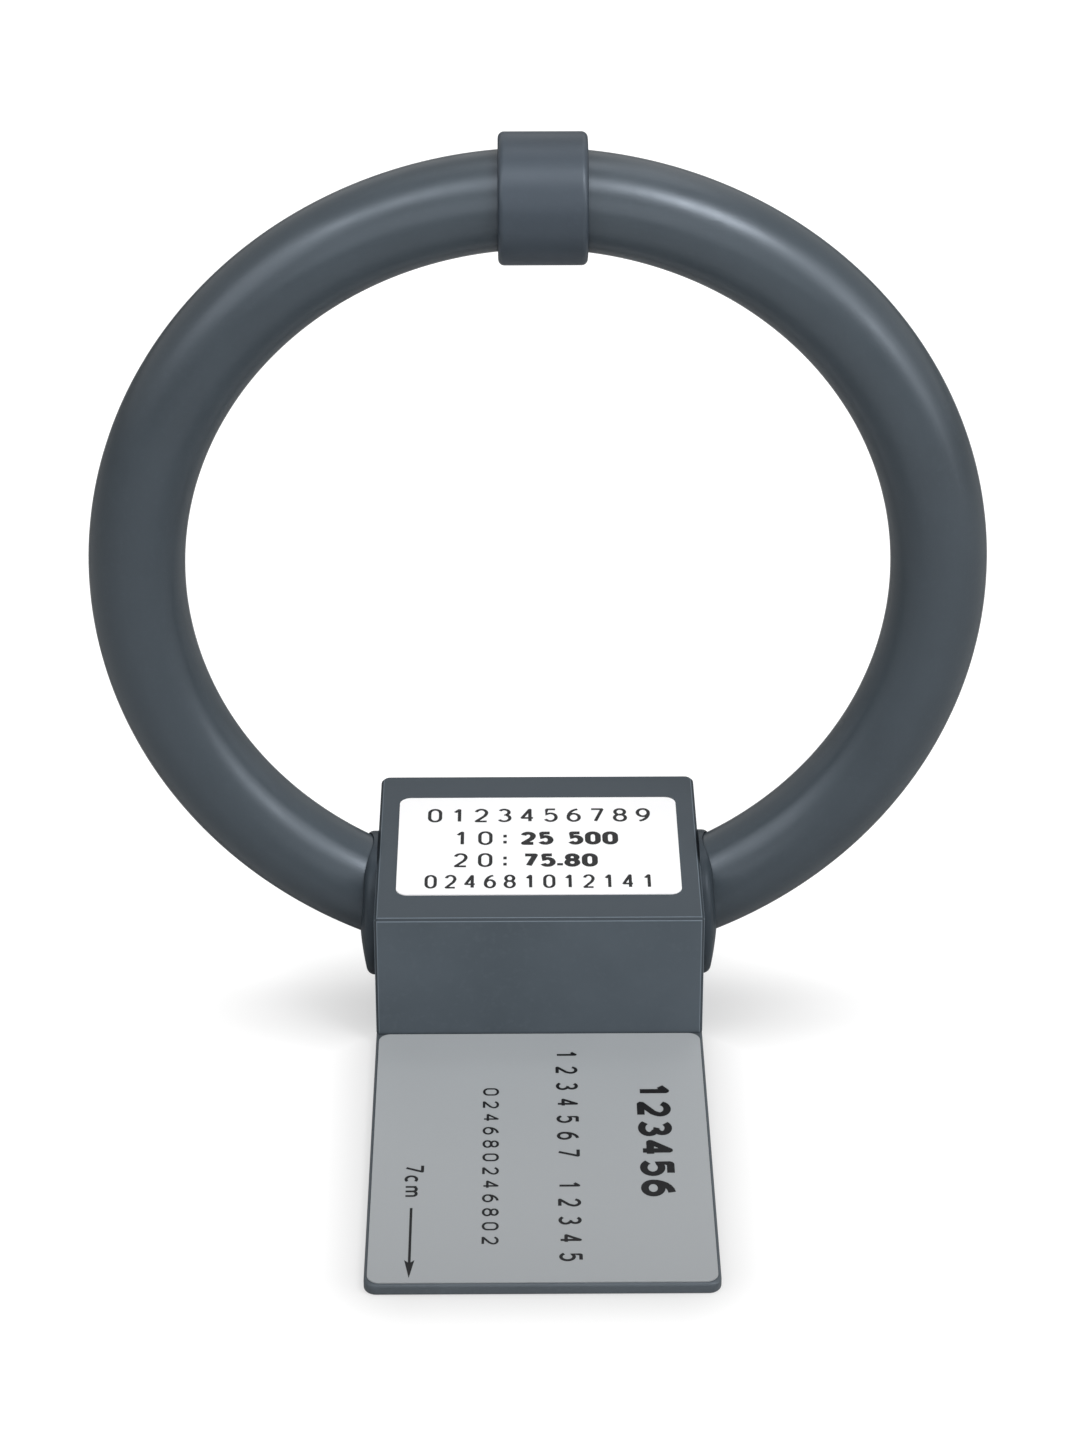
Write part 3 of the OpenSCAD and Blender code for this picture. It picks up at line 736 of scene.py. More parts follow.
@dataclass
class Lathe:
    """Turns drawn profiles about an axis."""

    centre: Vector
    axis: Axis
    steps: int = 96

    def place(self, along: float, radius: float) -> Vector:
        """The place of a profile's point."""
        return self.centre + self.axis.along * along + self.axis.radial * radius

    def drawn(self, place: Vector) -> Point:
        """The distance of a place along the axis, and from it.

        Args:
            place: The place.

        Returns:
            Both distances, as in a profile.
        """
        offset = place - self.centre
        height = offset.dot(self.axis.along)
        return height, (offset - self.axis.along * height).length

    def turn(self, profile: Sequence[Point]) -> BMesh:
        """Turns a closed profile, or one whose two ends lie on the axis.

        Args:
            profile: Points as distance along the axis and radius.

        Returns:
            The closed mesh.
        """
        bm = bmesh.new()
        points = [bm.verts.new(self.place(*point)) for point in profile]
        pairs = list(zip(points, points[1:]))
        if profile[0][1] > TINY or profile[-1][1] > TINY:
            pairs.append((points[-1], points[0]))
        lines = [bm.edges.new(pair) for pair in pairs]
        bmesh.ops.spin(bm, geom=points + lines, cent=self.centre, axis=self.axis.along,
                       angle=math.tau, steps=self.steps, use_merge=True)
        close_up(bm)
        return bm

    def ring(self, bm: BMesh, along: float, radius: float) -> list[BMEdge]:
        """The circle of edges that a profile's point became.

        Args:
            bm: The turned mesh.
            along: The point's distance along the axis.
            radius: The point's radius.

        Returns:
            The edges of that circle.
        """
        near = 5 * TINY

        def on_ring(co: Vector) -> bool:
            """Whether a corner lies on the circle."""
            height, distance = self.drawn(co)
            return abs(height - along) < near and abs(distance - radius) < near

        return edges_where(bm, on_ring)

    def disc(self, low: float, high: float, radius: float) -> BMesh:
        """A plain cylinder along the axis, from low to high."""
        return self.turn([(low, 0.0), (low, radius), (high, radius), (high, 0.0)])

    def post(self, height: float, radius: float, bore: float, depth: float) -> BMesh:
        """A post with a blind hole from below.

        Args:
            height: Its height.
            radius: Its radius.
            bore: Radius of its hole.
            depth: Depth of its hole.

        Returns:
            The closed mesh.
        """
        return self.turn([(depth, 0.0), (depth, bore), (0.0, bore), (0.0, radius),
                          (height, radius), (height, 0.0)])


def block(low: Sequence[float], high: Sequence[float]) -> BMesh:
    """A box between two corners.

    Args:
        low: Lowest corner in metres.
        high: Highest corner in metres.

    Returns:
        The closed mesh.
    """
    a, b = Vector(low), Vector(high)
    bm = bmesh.new()
    shape = Matrix.Translation((a + b) / 2) @ Matrix.Diagonal((*(b - a), 1.0))
    bmesh.ops.create_cube(bm, size=1.0, matrix=shape)
    return bm


def corners_of(node: str, inset: float, height: float) -> list[Vector]:
    """Places inside the four corners of a node's box, seen from above, at one height."""
    low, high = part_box(node)
    return [Vector((x, y, height)) for x in (low.x + inset, high.x - inset)
            for y in (low.y + inset, high.y - inset)]


@dataclass
class LoopRing:
    """The tube ring of two halves with its collar."""

    loop_r: float = 66.5 * MM
    tube_r: float = 7.99 * MM
    wall: float = 1.5 * MM
    seam_gap: float = 0.2 * MM
    # A half is swept past the place where the seat cuts it off
    sweep: float = math.radians(165)
    steps: int = 128
    around: int = 72
    seat_out: float = 0.4 * MM
    seat_start: float = math.radians(45)
    seat_sweep: float = math.radians(30)
    seat_steps: int = 48
    seat_around: int = 96
    collar_r: float = 10.5 * MM
    collar_len: float = 14.2 * MM
    collar_edge: float = 1.0 * MM
    collar_fit: float = 0.1 * MM
    collar_steps: int = 128
    mouth_edge: float = 0.15 * MM
    # The bore is bent in this many stretches, and its wall to this depth bends with it
    stretches: int = 8
    bent: float = 0.3 * MM
    centre: Vector = field(default_factory=lambda: LoopRing.centre_of_winding())

    @staticmethod
    def centre_of_winding() -> Vector:
        """The ring's centre, from the winding's box."""
        low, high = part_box("winding")
        return Vector((0.0, 0.0, (low.z + high.z) / 2))

    def seat_x(self) -> float:
        """Where the tube's lower end stands, just outside the housing's wall."""
        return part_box("housing_shell")[1].x + self.seat_out

    def sweep_round(self, bm: BMesh, side: Side, start: float, angle: float, steps: int) -> None:
        """Turns a section to its start and sweeps it round the ring, down one side.

        Args:
            bm: The section.
            side: The side that it is swept down on.
            start: Angle that the section is turned by first.
            angle: Angle of the sweep.
            steps: Number of stretches.
        """
        bmesh.ops.rotate(bm, verts=bm.verts, cent=self.centre,
                         matrix=Matrix.Rotation(side.value * start, 3, "Y"))
        bmesh.ops.spin(bm, geom=everything(bm), cent=self.centre, axis=(0, side.value, 0),
                       angle=angle, steps=steps)

    def half_tube(self, side: Side) -> BMesh:
        """One half of the tube, from the seam down to its seat in the flange.

        Args:
            side: Which half.

        Returns:
            The hollow, closed mesh.
        """
        seat_x = self.seat_x()
        bm = bmesh.new()
        top = self.centre + Vector((0, 0, self.loop_r))
        stand = Matrix.Translation(top) @ Matrix.Rotation(math.pi / 2, 4, "Y")
        loops = []
        for radius in (self.tube_r, self.tube_r - self.wall):
            ring = bmesh.ops.create_circle(bm, segments=self.around, radius=radius,
                                           matrix=stand)["verts"]
            loops += [e for e in bm.edges if e.verts[0] in ring and e.verts[1] in ring]
        bmesh.ops.bridge_loops(bm, edges=loops)
        half_gap = math.asin(self.seam_gap / 2 / self.loop_r)
        self.sweep_round(bm, side, half_gap, self.sweep, self.steps)
        bmesh.ops.bisect_plane(bm, geom=everything(bm), plane_co=(side.value * seat_x, 0, 0),
                               plane_no=(side.value, 0, 0))

        def past_seat(co: Vector) -> bool:
            """Whether a place lies past the tube's cut lower end."""
            return co.z < self.centre.z and co.x * side.value < seat_x - TINY

        low_end = [f for f in bm.faces if past_seat(f.calc_center_median())]
        bmesh.ops.delete(bm, geom=low_end, context="FACES")
        rim = [e for e in bm.edges if e.is_boundary and e.verts[0].co.z < self.centre.z]
        bmesh.ops.bridge_loops(bm, edges=rim)
        close_up(bm)
        return bm

    def seat_cutter(self, side: Side, fit: float) -> BMesh:
        """The shape of the tube's lower end with a clearance, for its seat.

        Args:
            side: Which end.
            fit: Clearance round the tube.

        Returns:
            The closed mesh.
        """
        bm = bmesh.new()
        start = self.centre + Vector((self.loop_r * side.value, 0, 0))
        bmesh.ops.create_circle(bm, cap_ends=True, segments=self.seat_around,
                                radius=self.tube_r + fit, matrix=Matrix.Translation(start))
        self.sweep_round(bm, side, self.seat_start, self.seat_sweep, self.seat_steps)
        geom = bmesh.ops.bisect_plane(bm, geom=everything(bm), clear_outer=True,
                                      plane_co=(side.value * self.seat_x(), 0, 0),
                                      plane_no=(-side.value, 0, 0))
        rim = [e for e in geom["geom_cut"] if isinstance(e, BMEdge)]
        bmesh.ops.edgeloop_fill(bm, edges=rim)
        close_up(bm)
        return bm

    def collar(self) -> BMesh:
        """The turned collar, its bore bent to follow the ring.

        Returns:
            The closed mesh.
        """
        low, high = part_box("top_collar")
        middle = Vector(((low.x + high.x) / 2, 0.0, (low.z + high.z) / 2))
        half = self.collar_len / 2
        bore = self.tube_r + self.collar_fit
        lathe = Lathe(middle, Axis.X, self.collar_steps)
        inside = [(-half + i * self.collar_len / self.stretches, bore)
                  for i in range(self.stretches + 1)]
        bm = lathe.turn([(half, self.collar_r), (-half, self.collar_r), *inside])
        for along in (-half, half):
            soften(bm, lathe.ring(bm, along, self.collar_r), self.collar_edge, steps=6)
            soften(bm, lathe.ring(bm, along, bore), self.mouth_edge, steps=2)
        for vert in bm.verts:
            if math.hypot(vert.co.y, vert.co.z - middle.z) < bore + self.bent:
                vert.co.z -= self.loop_r - math.sqrt(self.loop_r ** 2 - vert.co.x ** 2)
        return bm

    def build(self) -> list[Object]:
        """Builds both halves of the tube and the collar.

        Returns:
            The three pieces.
        """
        tubes = [dress(self.half_tube(side), f"tube_{side.word}", "ring_grey",
                       f"ring_tube_{side.word}") for side in Side]
        return [*tubes, dress(self.collar(), "collar", "collar_grey", "top_collar")]


@dataclass
class SideFlange:
    """A domed flange on the housing's side that takes the tube's end."""

    ring: LoopRing
    disc_r: float = 12.5 * MM
    dome_h: float = 3.4 * MM
    dome_steps: int = 14
    rise: float = 1.25 * MM
    rim: float = 1.4 * MM
    rim_steps: int = 10
    spigot_r: float = 7.0 * MM
    bore_r: float = 5.5 * MM
    # The spigot's bore runs this far past the tube's end, so the seat's cutter opens it
    bore_over: float = 0.1 * MM
    spigot_len: float = 6.5 * MM
    seat_fit: float = 0.2 * MM
    steps: int = 144

    def profile(self) -> Path:
        """The flat dome's line from its middle over the rounded rim to the wall.

        Returns:
            Points as height above the wall and radius.
        """
        rim_x = self.disc_r - self.rim
        dome_r = (rim_x ** 2 + (self.rim + self.rise) ** 2 - self.rim ** 2) / (2 * self.rise)
        meet = math.asin(rim_x / (dome_r - self.rim))
        dome = arc((self.dome_h - dome_r, 0.0), dome_r, 0.0, meet, self.dome_steps)
        round_off = arc((self.dome_h - self.rise - self.rim, rim_x), self.rim, meet, math.pi / 2,
                        self.rim_steps)
        return dome[1:] + round_off[1:] + [(0.0, self.disc_r)]

    def build(self, side: Side) -> Object:
        """Builds the flange of one side.

        Args:
            side: Which side.

        Returns:
            The piece.
        """
        node = f"flange_{side.word}"
        low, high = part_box(node)
        wall_x = side.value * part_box("housing_shell")[1].x
        bore_top = self.ring.seat_out + self.bore_over
        profile = [
            (bore_top, 0.0), (self.dome_h, 0.0), *self.profile(), (0.0, self.spigot_r),
            (-self.spigot_len, self.spigot_r), (-self.spigot_len, self.bore_r),
            (bore_top, self.bore_r)]
        lathe = Lathe(Vector((wall_x, 0.0, (low.z + high.z) / 2)), Axis.X, self.steps)
        bm = lathe.turn([(side.value * along, radius) for along, radius in profile])
        bm = carved(bm, [self.ring.seat_cutter(side, self.seat_fit)])
        return dress(bm, f"flange_dome_{side.word}", "flange_grey", node)


@dataclass
class Housing:
    """The connector housing: a hollow block, open below, with posts and bosses."""

    wall: float = 2.5 * MM
    roof: float = 2.5 * MM
    chamfer: float = 0.5 * MM
    rear_round: float = 1.6 * MM
    crease: float = 0.13 * MM
    foot_edge: float = 0.22 * MM
    spigot_hole_r: float = 7.1 * MM
    jack_hole_r: float = 4.8 * MM
    screw_head_r: float = 2.35 * MM
    post_r: float = 3.0 * MM
    post_bore: float = 1.3 * MM
    post_hole: float = 10 * MM
    board_head_r: float = 1.9 * MM
    boss_r: float = 2.5 * MM
    boss_bore: float = 1.05 * MM
    boss_hole: float = 4 * MM
    steps: int = 96
    post_steps: int = 40

    def outer(self, low: Vector, high: Vector) -> BMesh:
        """The outer block: rounded at the rear, chamfered at the front and the top.

        Args:
            low: Its lowest corner.
            high: Its highest corner.

        Returns:
            The closed mesh.
        """
        bm = block(low, high)
        soften(bm, filter(is_upright, edges_at(bm, "y", high.y)), self.rear_round, steps=6)
        front = filter(is_upright, edges_at(bm, "y", low.y))
        soften(bm, [*edges_at(bm, "z", high.z), *front], self.chamfer, steps=1)
        creases = [e for e in bm.edges if SLANTED < e.calc_face_angle(0.0) < SQUARE]
        soften(bm, creases, self.crease, steps=3)
        soften(bm, filter(is_square, edges_at(bm, "z", low.z)), self.foot_edge, steps=2)
        return bm

    def build(self) -> Object:
        """Builds the housing.

        Returns:
            The piece.
        """
        low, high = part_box("housing_shell")
        inner_low = Vector((low.x + self.wall, low.y + self.wall, low.z - PAST))
        inner_high = Vector((high.x - self.wall, high.y - self.wall, high.z - self.roof))
        middle_z = (low.z + high.z) / 2
        through = Lathe(Vector((0, 0, middle_z)), Axis.X, self.steps)
        rear = Lathe(Vector((0, high.y, middle_z)), Axis.Y, self.steps)
        shell = carved(self.outer(low, high), [
            block(inner_low, inner_high),
            through.disc(low.x - PAST, high.x + PAST, self.spigot_hole_r),
            rear.disc(-self.wall - PAST, PAST, self.jack_hole_r),
        ])
        shell = merged([shell, *self.posts(low.z, inner_high.z)])
        return dress(shell, "housing", "housing_grey", "housing_shell")

    def posts(self, foot: float, roof: float) -> list[BMesh]:
        """The corner posts and the bosses for the inner board.

        Args:
            foot: Height of the housing's foot.
            roof: Height of the hollow's roof.

        Returns:
            Closed tubes that stand in the hollow.
        """
        tubes = []
        for place in corners_of("base_screws", self.screw_head_r, foot):
            lathe = Lathe(place, Axis.Z, self.post_steps)
            tubes.append(lathe.post(roof - foot, self.post_r, self.post_bore, self.post_hole))
        low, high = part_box("board_screws")
        board_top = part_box("terminal_board")[1].z
        for x in (low.x + self.board_head_r, high.x - self.board_head_r):
            lathe = Lathe(Vector((x, (low.y + high.y) / 2, board_top)), Axis.Z, self.post_steps)
            tubes.append(lathe.post(roof - board_top, self.boss_r, self.boss_bore, self.boss_hole))
        return tubes


@dataclass
class BasePlate:
    """The plate under the housing with its tongue, and its four screws."""

    front_r: float = 2.0 * MM
    back_r: float = 0.6 * MM
    rim: float = 0.5 * MM
    head_r: float = 2.35 * MM
    head_h: float = 1.2 * MM
    shank_r: float = 1.25 * MM
    slot_w: float = 0.55 * MM
    slot_len: float = 2.5 * MM
    slot_depth: float = 0.8 * MM
    fit: float = 0.1 * MM
    hole_depth: float = 5 * MM
    steps: int = 48

    def build(self) -> list[Object]:
        """Builds the plate and its screws.

        Returns:
            Both pieces.
        """
        low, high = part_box("base_plate")
        bm = block(low, high)
        soften(bm, filter(is_upright, edges_at(bm, "y", low.y)), self.front_r, steps=12)
        soften(bm, filter(is_upright, edges_at(bm, "y", high.y)), self.back_r, steps=6)
        soften(bm, [e for e in bm.edges if is_square(e) and not is_upright(e)], self.rim, steps=4)
        places = corners_of("base_screws", self.head_r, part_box("base_screws")[0].z)
        bm = carved(bm, [self.sink(place) for place in places])
        screws = merged([self.screw(place) for place in places])
        return [dress(bm, "plate", "plate_grey", "base_plate"),
                dress(screws, "plate_screws", "steel", "base_screws")]

    def sink(self, place: Vector) -> BMesh:
        """The cutter of the countersunk hole for a screw whose head has its middle at a place."""
        wide, narrow = self.head_r + self.fit, self.shank_r + self.fit
        return Lathe(place, Axis.Z, self.steps).turn([
            (-PAST, 0.0), (-PAST, wide), (0.0, wide), (self.head_h, narrow),
            (self.hole_depth, narrow), (self.hole_depth, 0.0)])

    def screw(self, place: Vector) -> BMesh:
        """One countersunk screw with a cross recess.

        Args:
            place: Middle of the screw's head, on the plate's underside.

        Returns:
            The closed mesh.
        """
        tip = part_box("base_screws")[1].z
        bm = Lathe(place, Axis.Z, self.steps).turn([
            (0.0, 0.0), (0.0, self.head_r), (self.head_h, self.shank_r), (tip, self.shank_r),
            (tip, 0.0)])
        cutters = []
        for w, h in ((self.slot_w, self.slot_len), (self.slot_len, self.slot_w)):
            half = Vector((w / 2, h / 2, 0))
            cutters.append(block(place - half - Vector((0, 0, PAST)),
                                 place + half + Vector((0, 0, self.slot_depth))))
        return carved(bm, cutters)


class Reading(Enum):
    """The direction that a printed line runs in: to the right, or towards the front."""

    ACROSS = 0.0
    FORWARD = -math.pi / 2


def oval(cx: float, cy: float, rx: float, ry: float, start: float, end: float,
         pace: float = 15.0) -> Path:
    """Points along an oval.

    Args:
        cx: Its middle across.
        cy: Its middle upwards.
        rx: Half its width.
        ry: Half its height.
        start: First angle in degrees, counterclockwise from the right.
        end: Last angle in degrees.
        pace: About how many degrees lie between two points.

    Returns:
        The points.
    """
    steps = max(3, round(abs(end - start) / pace))
    turns = [math.radians(start + (end - start) * i / steps) for i in range(steps + 1)]
    return [(cx + rx * math.cos(t), cy + ry * math.sin(t)) for t in turns]


def rounded(corners: Path, share: float = 0.06, steps: int = 4) -> Path:
    """A line with its inner corners rounded.

    Args:
        corners: The line's corners.
        share: How far from a corner its rounding starts.
        steps: Stretches in a rounding.

    Returns:
        The points.
    """
    path = [corners[0]]
    for before, corner, after in zip(corners, corners[1:], corners[2:]):
        here = Vector(corner)
        back, ahead = Vector(before) - here, Vector(after) - here
        first = here + back.normalized() * min(share, back.length / 2)
        last = here + ahead.normalized() * min(share, ahead.length / 2)
        for i in range(steps + 1):
            t = i / steps
            spot = first * (1 - t) ** 2 + here * 2 * t * (1 - t) + last * t ** 2
            path.append((spot.x, spot.y))
    path.append(corners[-1])
    return path


def dot(x: float, y: float, half: float = 0.11) -> Path:
    """A short upright stroke that prints as a dot."""
    return [(x, y - half), (x, y + half)]


# Centre lines of the signs, each one unit wide and high, and whether a line is closed
SIGNS: dict[str, tuple[tuple[Path, bool], ...]] = {
    "0": ((oval(0.5, 0.70, 0.5, 0.30, 0, 180) + oval(0.5, 0.30, 0.5, 0.30, 180, 360), True),),
    "1": ((rounded([(0.22, 0.76), (0.62, 1.0), (0.62, 0.0)], 0.05), False),),
    "2": ((oval(0.5, 0.72, 0.48, 0.28, 165, -28)
           + rounded([(0.82, 0.46), (0.02, 0.0), (1.0, 0.0)]), False),),
    "3": ((oval(0.48, 0.76, 0.44, 0.24, 150, -80)
           + oval(0.48, 0.27, 0.52, 0.27, 80, -150), False),),
    "4": ((rounded([(0.72, 0.0), (0.72, 1.0), (0.0, 0.28), (1.0, 0.28)], 0.03), False),),
    "5": ((rounded([(0.92, 1.0), (0.16, 1.0), (0.08, 0.54)])
           + oval(0.48, 0.33, 0.52, 0.33, 130, -150), False),),
    "6": ((oval(0.95, 0.34, 0.95, 0.66, 96, 170) + oval(0.5, 0.31, 0.5, 0.31, 180, 520), False),),
    "7": ((rounded([(0.0, 1.0), (1.0, 1.0), (0.36, 0.0)]), False),),
    "8": ((oval(0.5, 0.76, 0.44, 0.24, 0, 345), True), (oval(0.5, 0.27, 0.5, 0.27, 0, 345), True)),
    "9": ((oval(0.05, 0.66, 0.95, 0.66, 276, 350) + oval(0.5, 0.69, 0.5, 0.31, 0, 340), False),),
    ".": ((dot(0.5, 0.10), False),),
    ":": ((dot(0.5, 0.16), False), (dot(0.5, 0.66), False)),
    "c": ((oval(0.5, 0.33, 0.5, 0.33, 50, 310), False),),
    "m": (([(0.0, 0.0), (0.0, 0.66)], False),
          (oval(0.25, 0.46, 0.25, 0.20, 175, 0) + [(0.5, 0.0)], False),
          (oval(0.75, 0.46, 0.25, 0.20, 175, 0) + [(1.0, 0.0)], False)),
}
# Widths of the narrow and wide signs against a digit's
SPANS = {".": 0.35, ":": 0.35, " ": 0.7, "m": 1.35}


@dataclass(frozen=True)
class Type:
    """A size of sign: its height, a digit's width, its stroke, and the gap between two signs."""

    height: float
    width: float
    stroke: float
    gap: float = 0.0


@dataclass(frozen=True)
class Line:
    """A printed line: its size of sign, where its foot begins, its signs and its full length.

    Places and length are in millimetres. Only a line without a length uses its type's gap.
    """

    kind: Type
    x: float
    y: float
    signs: str
    length: float | None = None


@dataclass
class Printer:
    """Prints flat numbers and marks on one film, whose face lies at the height top."""

    top: float
    thickness: float = 0.02 * MM
    # Where an arrow's head has its notch and its shaft begins, as shares of the head's length
    notch: float = 0.82
    shaft_start: float = 0.80
    marks: list[BMesh] = field(default_factory=list)

    def arrow(self, tip: Point, tail: float, width: float, head: tuple[float, float]) -> None:
        """Prints an arrow that points to the front.

        Args:
            tip: Its tip.
            tail: Where it begins, further back.
            width: Width of its shaft.
            head: Length and width of its head.
        """
        (x, y), (length, across) = tip, head
        self.marks.append(block((x - width / 2, y + self.shaft_start * length, self.top),
                                (x + width / 2, tail, self.top + self.thickness)))
        bm = bmesh.new()
        corners = [(x, y), (x + across / 2, y + length), (x, y + self.notch * length),
                   (x - across / 2, y + length)]
        face = bm.faces.new([bm.verts.new((*corner, self.top)) for corner in corners])
        lift = bmesh.ops.extrude_face_region(bm, geom=[face])["geom"]
        risen = [v for v in lift if isinstance(v, BMVert)]
        bmesh.ops.translate(bm, verts=risen, vec=(0, 0, self.thickness))
        close_up(bm)
        self.marks.append(bm)

    def stroke(self, path: Path, closed: bool, width: float) -> BMesh:
        """A flat line of ink along a path.

        Args:
            path: Points of its centre line in metres, in the line's own plane.
            closed: Whether it joins its start.
            width: Its width.

        Returns:
            The closed mesh, centred on the plane.
        """
        curve = bpy.data.curves.new("stroke", "CURVE")
        curve.dimensions = "3D"
        curve.bevel_depth = width / 2
        curve.bevel_resolution = 2
        curve.use_fill_caps = True
        spline = curve.splines.new("POLY")
        spline.points.add(len(path) - 1)
        for point, (x, y) in zip(spline.points, path):
            point.co = (x, y, 0.0, 1.0)
        spline.use_cyclic_u = closed
        helper = bpy.data.objects.new("stroke", curve)
        mesh = bpy.data.meshes.new_from_object(helper)
        bm = bmesh.new()
        bm.from_mesh(mesh)
        bpy.data.objects.remove(helper)
        bpy.data.curves.remove(curve)
        bpy.data.meshes.remove(mesh)
        bmesh.ops.scale(bm, verts=bm.verts, vec=(1.0, 1.0, self.thickness / width))
        return bm

    def line(self, line: Line, reading: Reading) -> None:
        """Prints a line of signs.

        Args:
            line: The line.
            reading: Direction that it reads in.
        """
        kind = line.kind
        spans = [SPANS.get(sign, 1.0) * kind.width for sign in line.signs]
        gap = kind.gap
        if line.length is not None:
            gap = (line.length * MM - sum(spans)) / (len(spans) - 1)
        turn = Matrix.Rotation(reading.value, 3, "Z")
        foot = (line.x * MM, line.y * MM, self.top + self.thickness / 2)
        inset, high, x = kind.stroke / 2, kind.height - kind.stroke, 0.0
        for sign, span in zip(line.signs, spans):
            wide = span - kind.stroke
            for path, closed in SIGNS.get(sign, ()):
                placed = [(x + inset + px * wide, inset + py * high) for px, py in path]
                bm = self.stroke(placed, closed, kind.stroke)
                bmesh.ops.rotate(bm, verts=bm.verts, cent=(0, 0, 0), matrix=turn)
                bmesh.ops.translate(bm, verts=bm.verts, vec=foot)
                close_up(bm)
                self.marks.append(bm)
            x += span + gap

    def piece(self, name: str) -> Object:
        """Joins all marks into one printed piece.

        Args:
            name: The piece's name.

        Returns:
            The piece.
        """
        made = object_of(merged(self.marks), name)
        made.data.materials.append(PAINT.get("print_black"))
        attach(made, BODY)
        log.info("%s: %d marks", name, len(self.marks))
        return made


@dataclass
class PrintedLabel:
    """A thin film with rounded corners and lines of plain signs on it."""

    node: str
    finish: str
    word: str
    reading: Reading
    lines: tuple[Line, ...]
    corner: float = 2.0 * MM
    edge: float = 0.05 * MM

    def film(self) -> Object:
        """Builds the film.

        Returns:
            The piece.
        """
        low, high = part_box(self.node)
        bm = block(low, high)
        soften(bm, filter(is_upright, bm.edges), self.corner, steps=12)
        soften(bm, filter(is_square, edges_at(bm, "z", high.z)), self.edge, steps=2)
        return dress(bm, f"{self.word}_film", self.finish, self.node)

    def mark(self, printer: Printer) -> None:
        """Prints what the film has besides its lines; a plain one has nothing."""

    def build(self) -> list[Object]:
        """Builds the film and its print.

        Returns:
            Both pieces.
        """
        film = self.film()
        printer = Printer(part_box(self.node)[1].z)
        for line in self.lines:
            printer.line(line, self.reading)
        self.mark(printer)
        return [film, printer.piece(f"{self.word}_print")]


@dataclass
class HousingLabel(PrintedLabel):
    """The white film on the housing: four lines of plain numbers."""

    fine: ClassVar[Type] = Type(4.7 * MM, 2.5 * MM, 0.60 * MM)
    bold: ClassVar[Type] = Type(4.5 * MM, 2.75 * MM, 1.0 * MM, gap=0.25 * MM)
    small: ClassVar[Type] = Type(4.5 * MM, 2.1 * MM, 0.56 * MM)

    node: str = "top_label"
    finish: str = "white_label"
    word: str = "housing"
    reading: Reading = Reading.ACROSS
    lines: tuple[Line, ...] = (
        Line(fine, -19.2, 7.45, "0123456789", 38.8),
        Line(fine, -14.6, -0.35, "10:", 9.3),
        Line(bold, -3.1, -0.35, "25 500"),
        Line(fine, -14.6, -7.75, "20:", 9.3),
        Line(bold, -2.8, -7.75, "75.80"),
        Line(small, -19.4, -14.75, "024681012141", 39.0),
    )


@dataclass
class TongueLabel(PrintedLabel):
    """The grey film on the tongue: lines of plain numbers and the measuring distance."""

    heavy: ClassVar[Type] = Type(5.6 * MM, 4.6 * MM, 1.25 * MM)
    plain: ClassVar[Type] = Type(3.7 * MM, 2.3 * MM, 0.56 * MM)
    small: ClassVar[Type] = Type(2.7 * MM, 2.2 * MM, 0.42 * MM)
    unit: ClassVar[Type] = Type(3.1 * MM, 2.2 * MM, 0.50 * MM)

    node: str = "tongue_label"
    finish: str = "tongue_label"
    word: str = "tongue"
    reading: Reading = Reading.FORWARD
    lines: tuple[Line, ...] = (
        Line(heavy, 15.9, -39.2, "123456", 32.4),
        Line(plain, 2.6, -29.6, "1234567 12345", 59.0),
        Line(small, -9.5, -40.8, "024680246802", 43.4),
        Line(unit, -21.95, -62.6, "7cm", 8.8),
    )
    arrow_tip: Point = (-20.7 * MM, -92.7 * MM)
    arrow_tail: float = -74.4 * MM
    arrow_w: float = 0.42 * MM
    head: tuple[float, float] = (4.6 * MM, 1.6 * MM)

    def mark(self, printer: Printer) -> None:
        """Prints the arrow to the tongue's front edge."""
        printer.arrow(self.arrow_tip, self.arrow_tail, self.arrow_w, self.head)


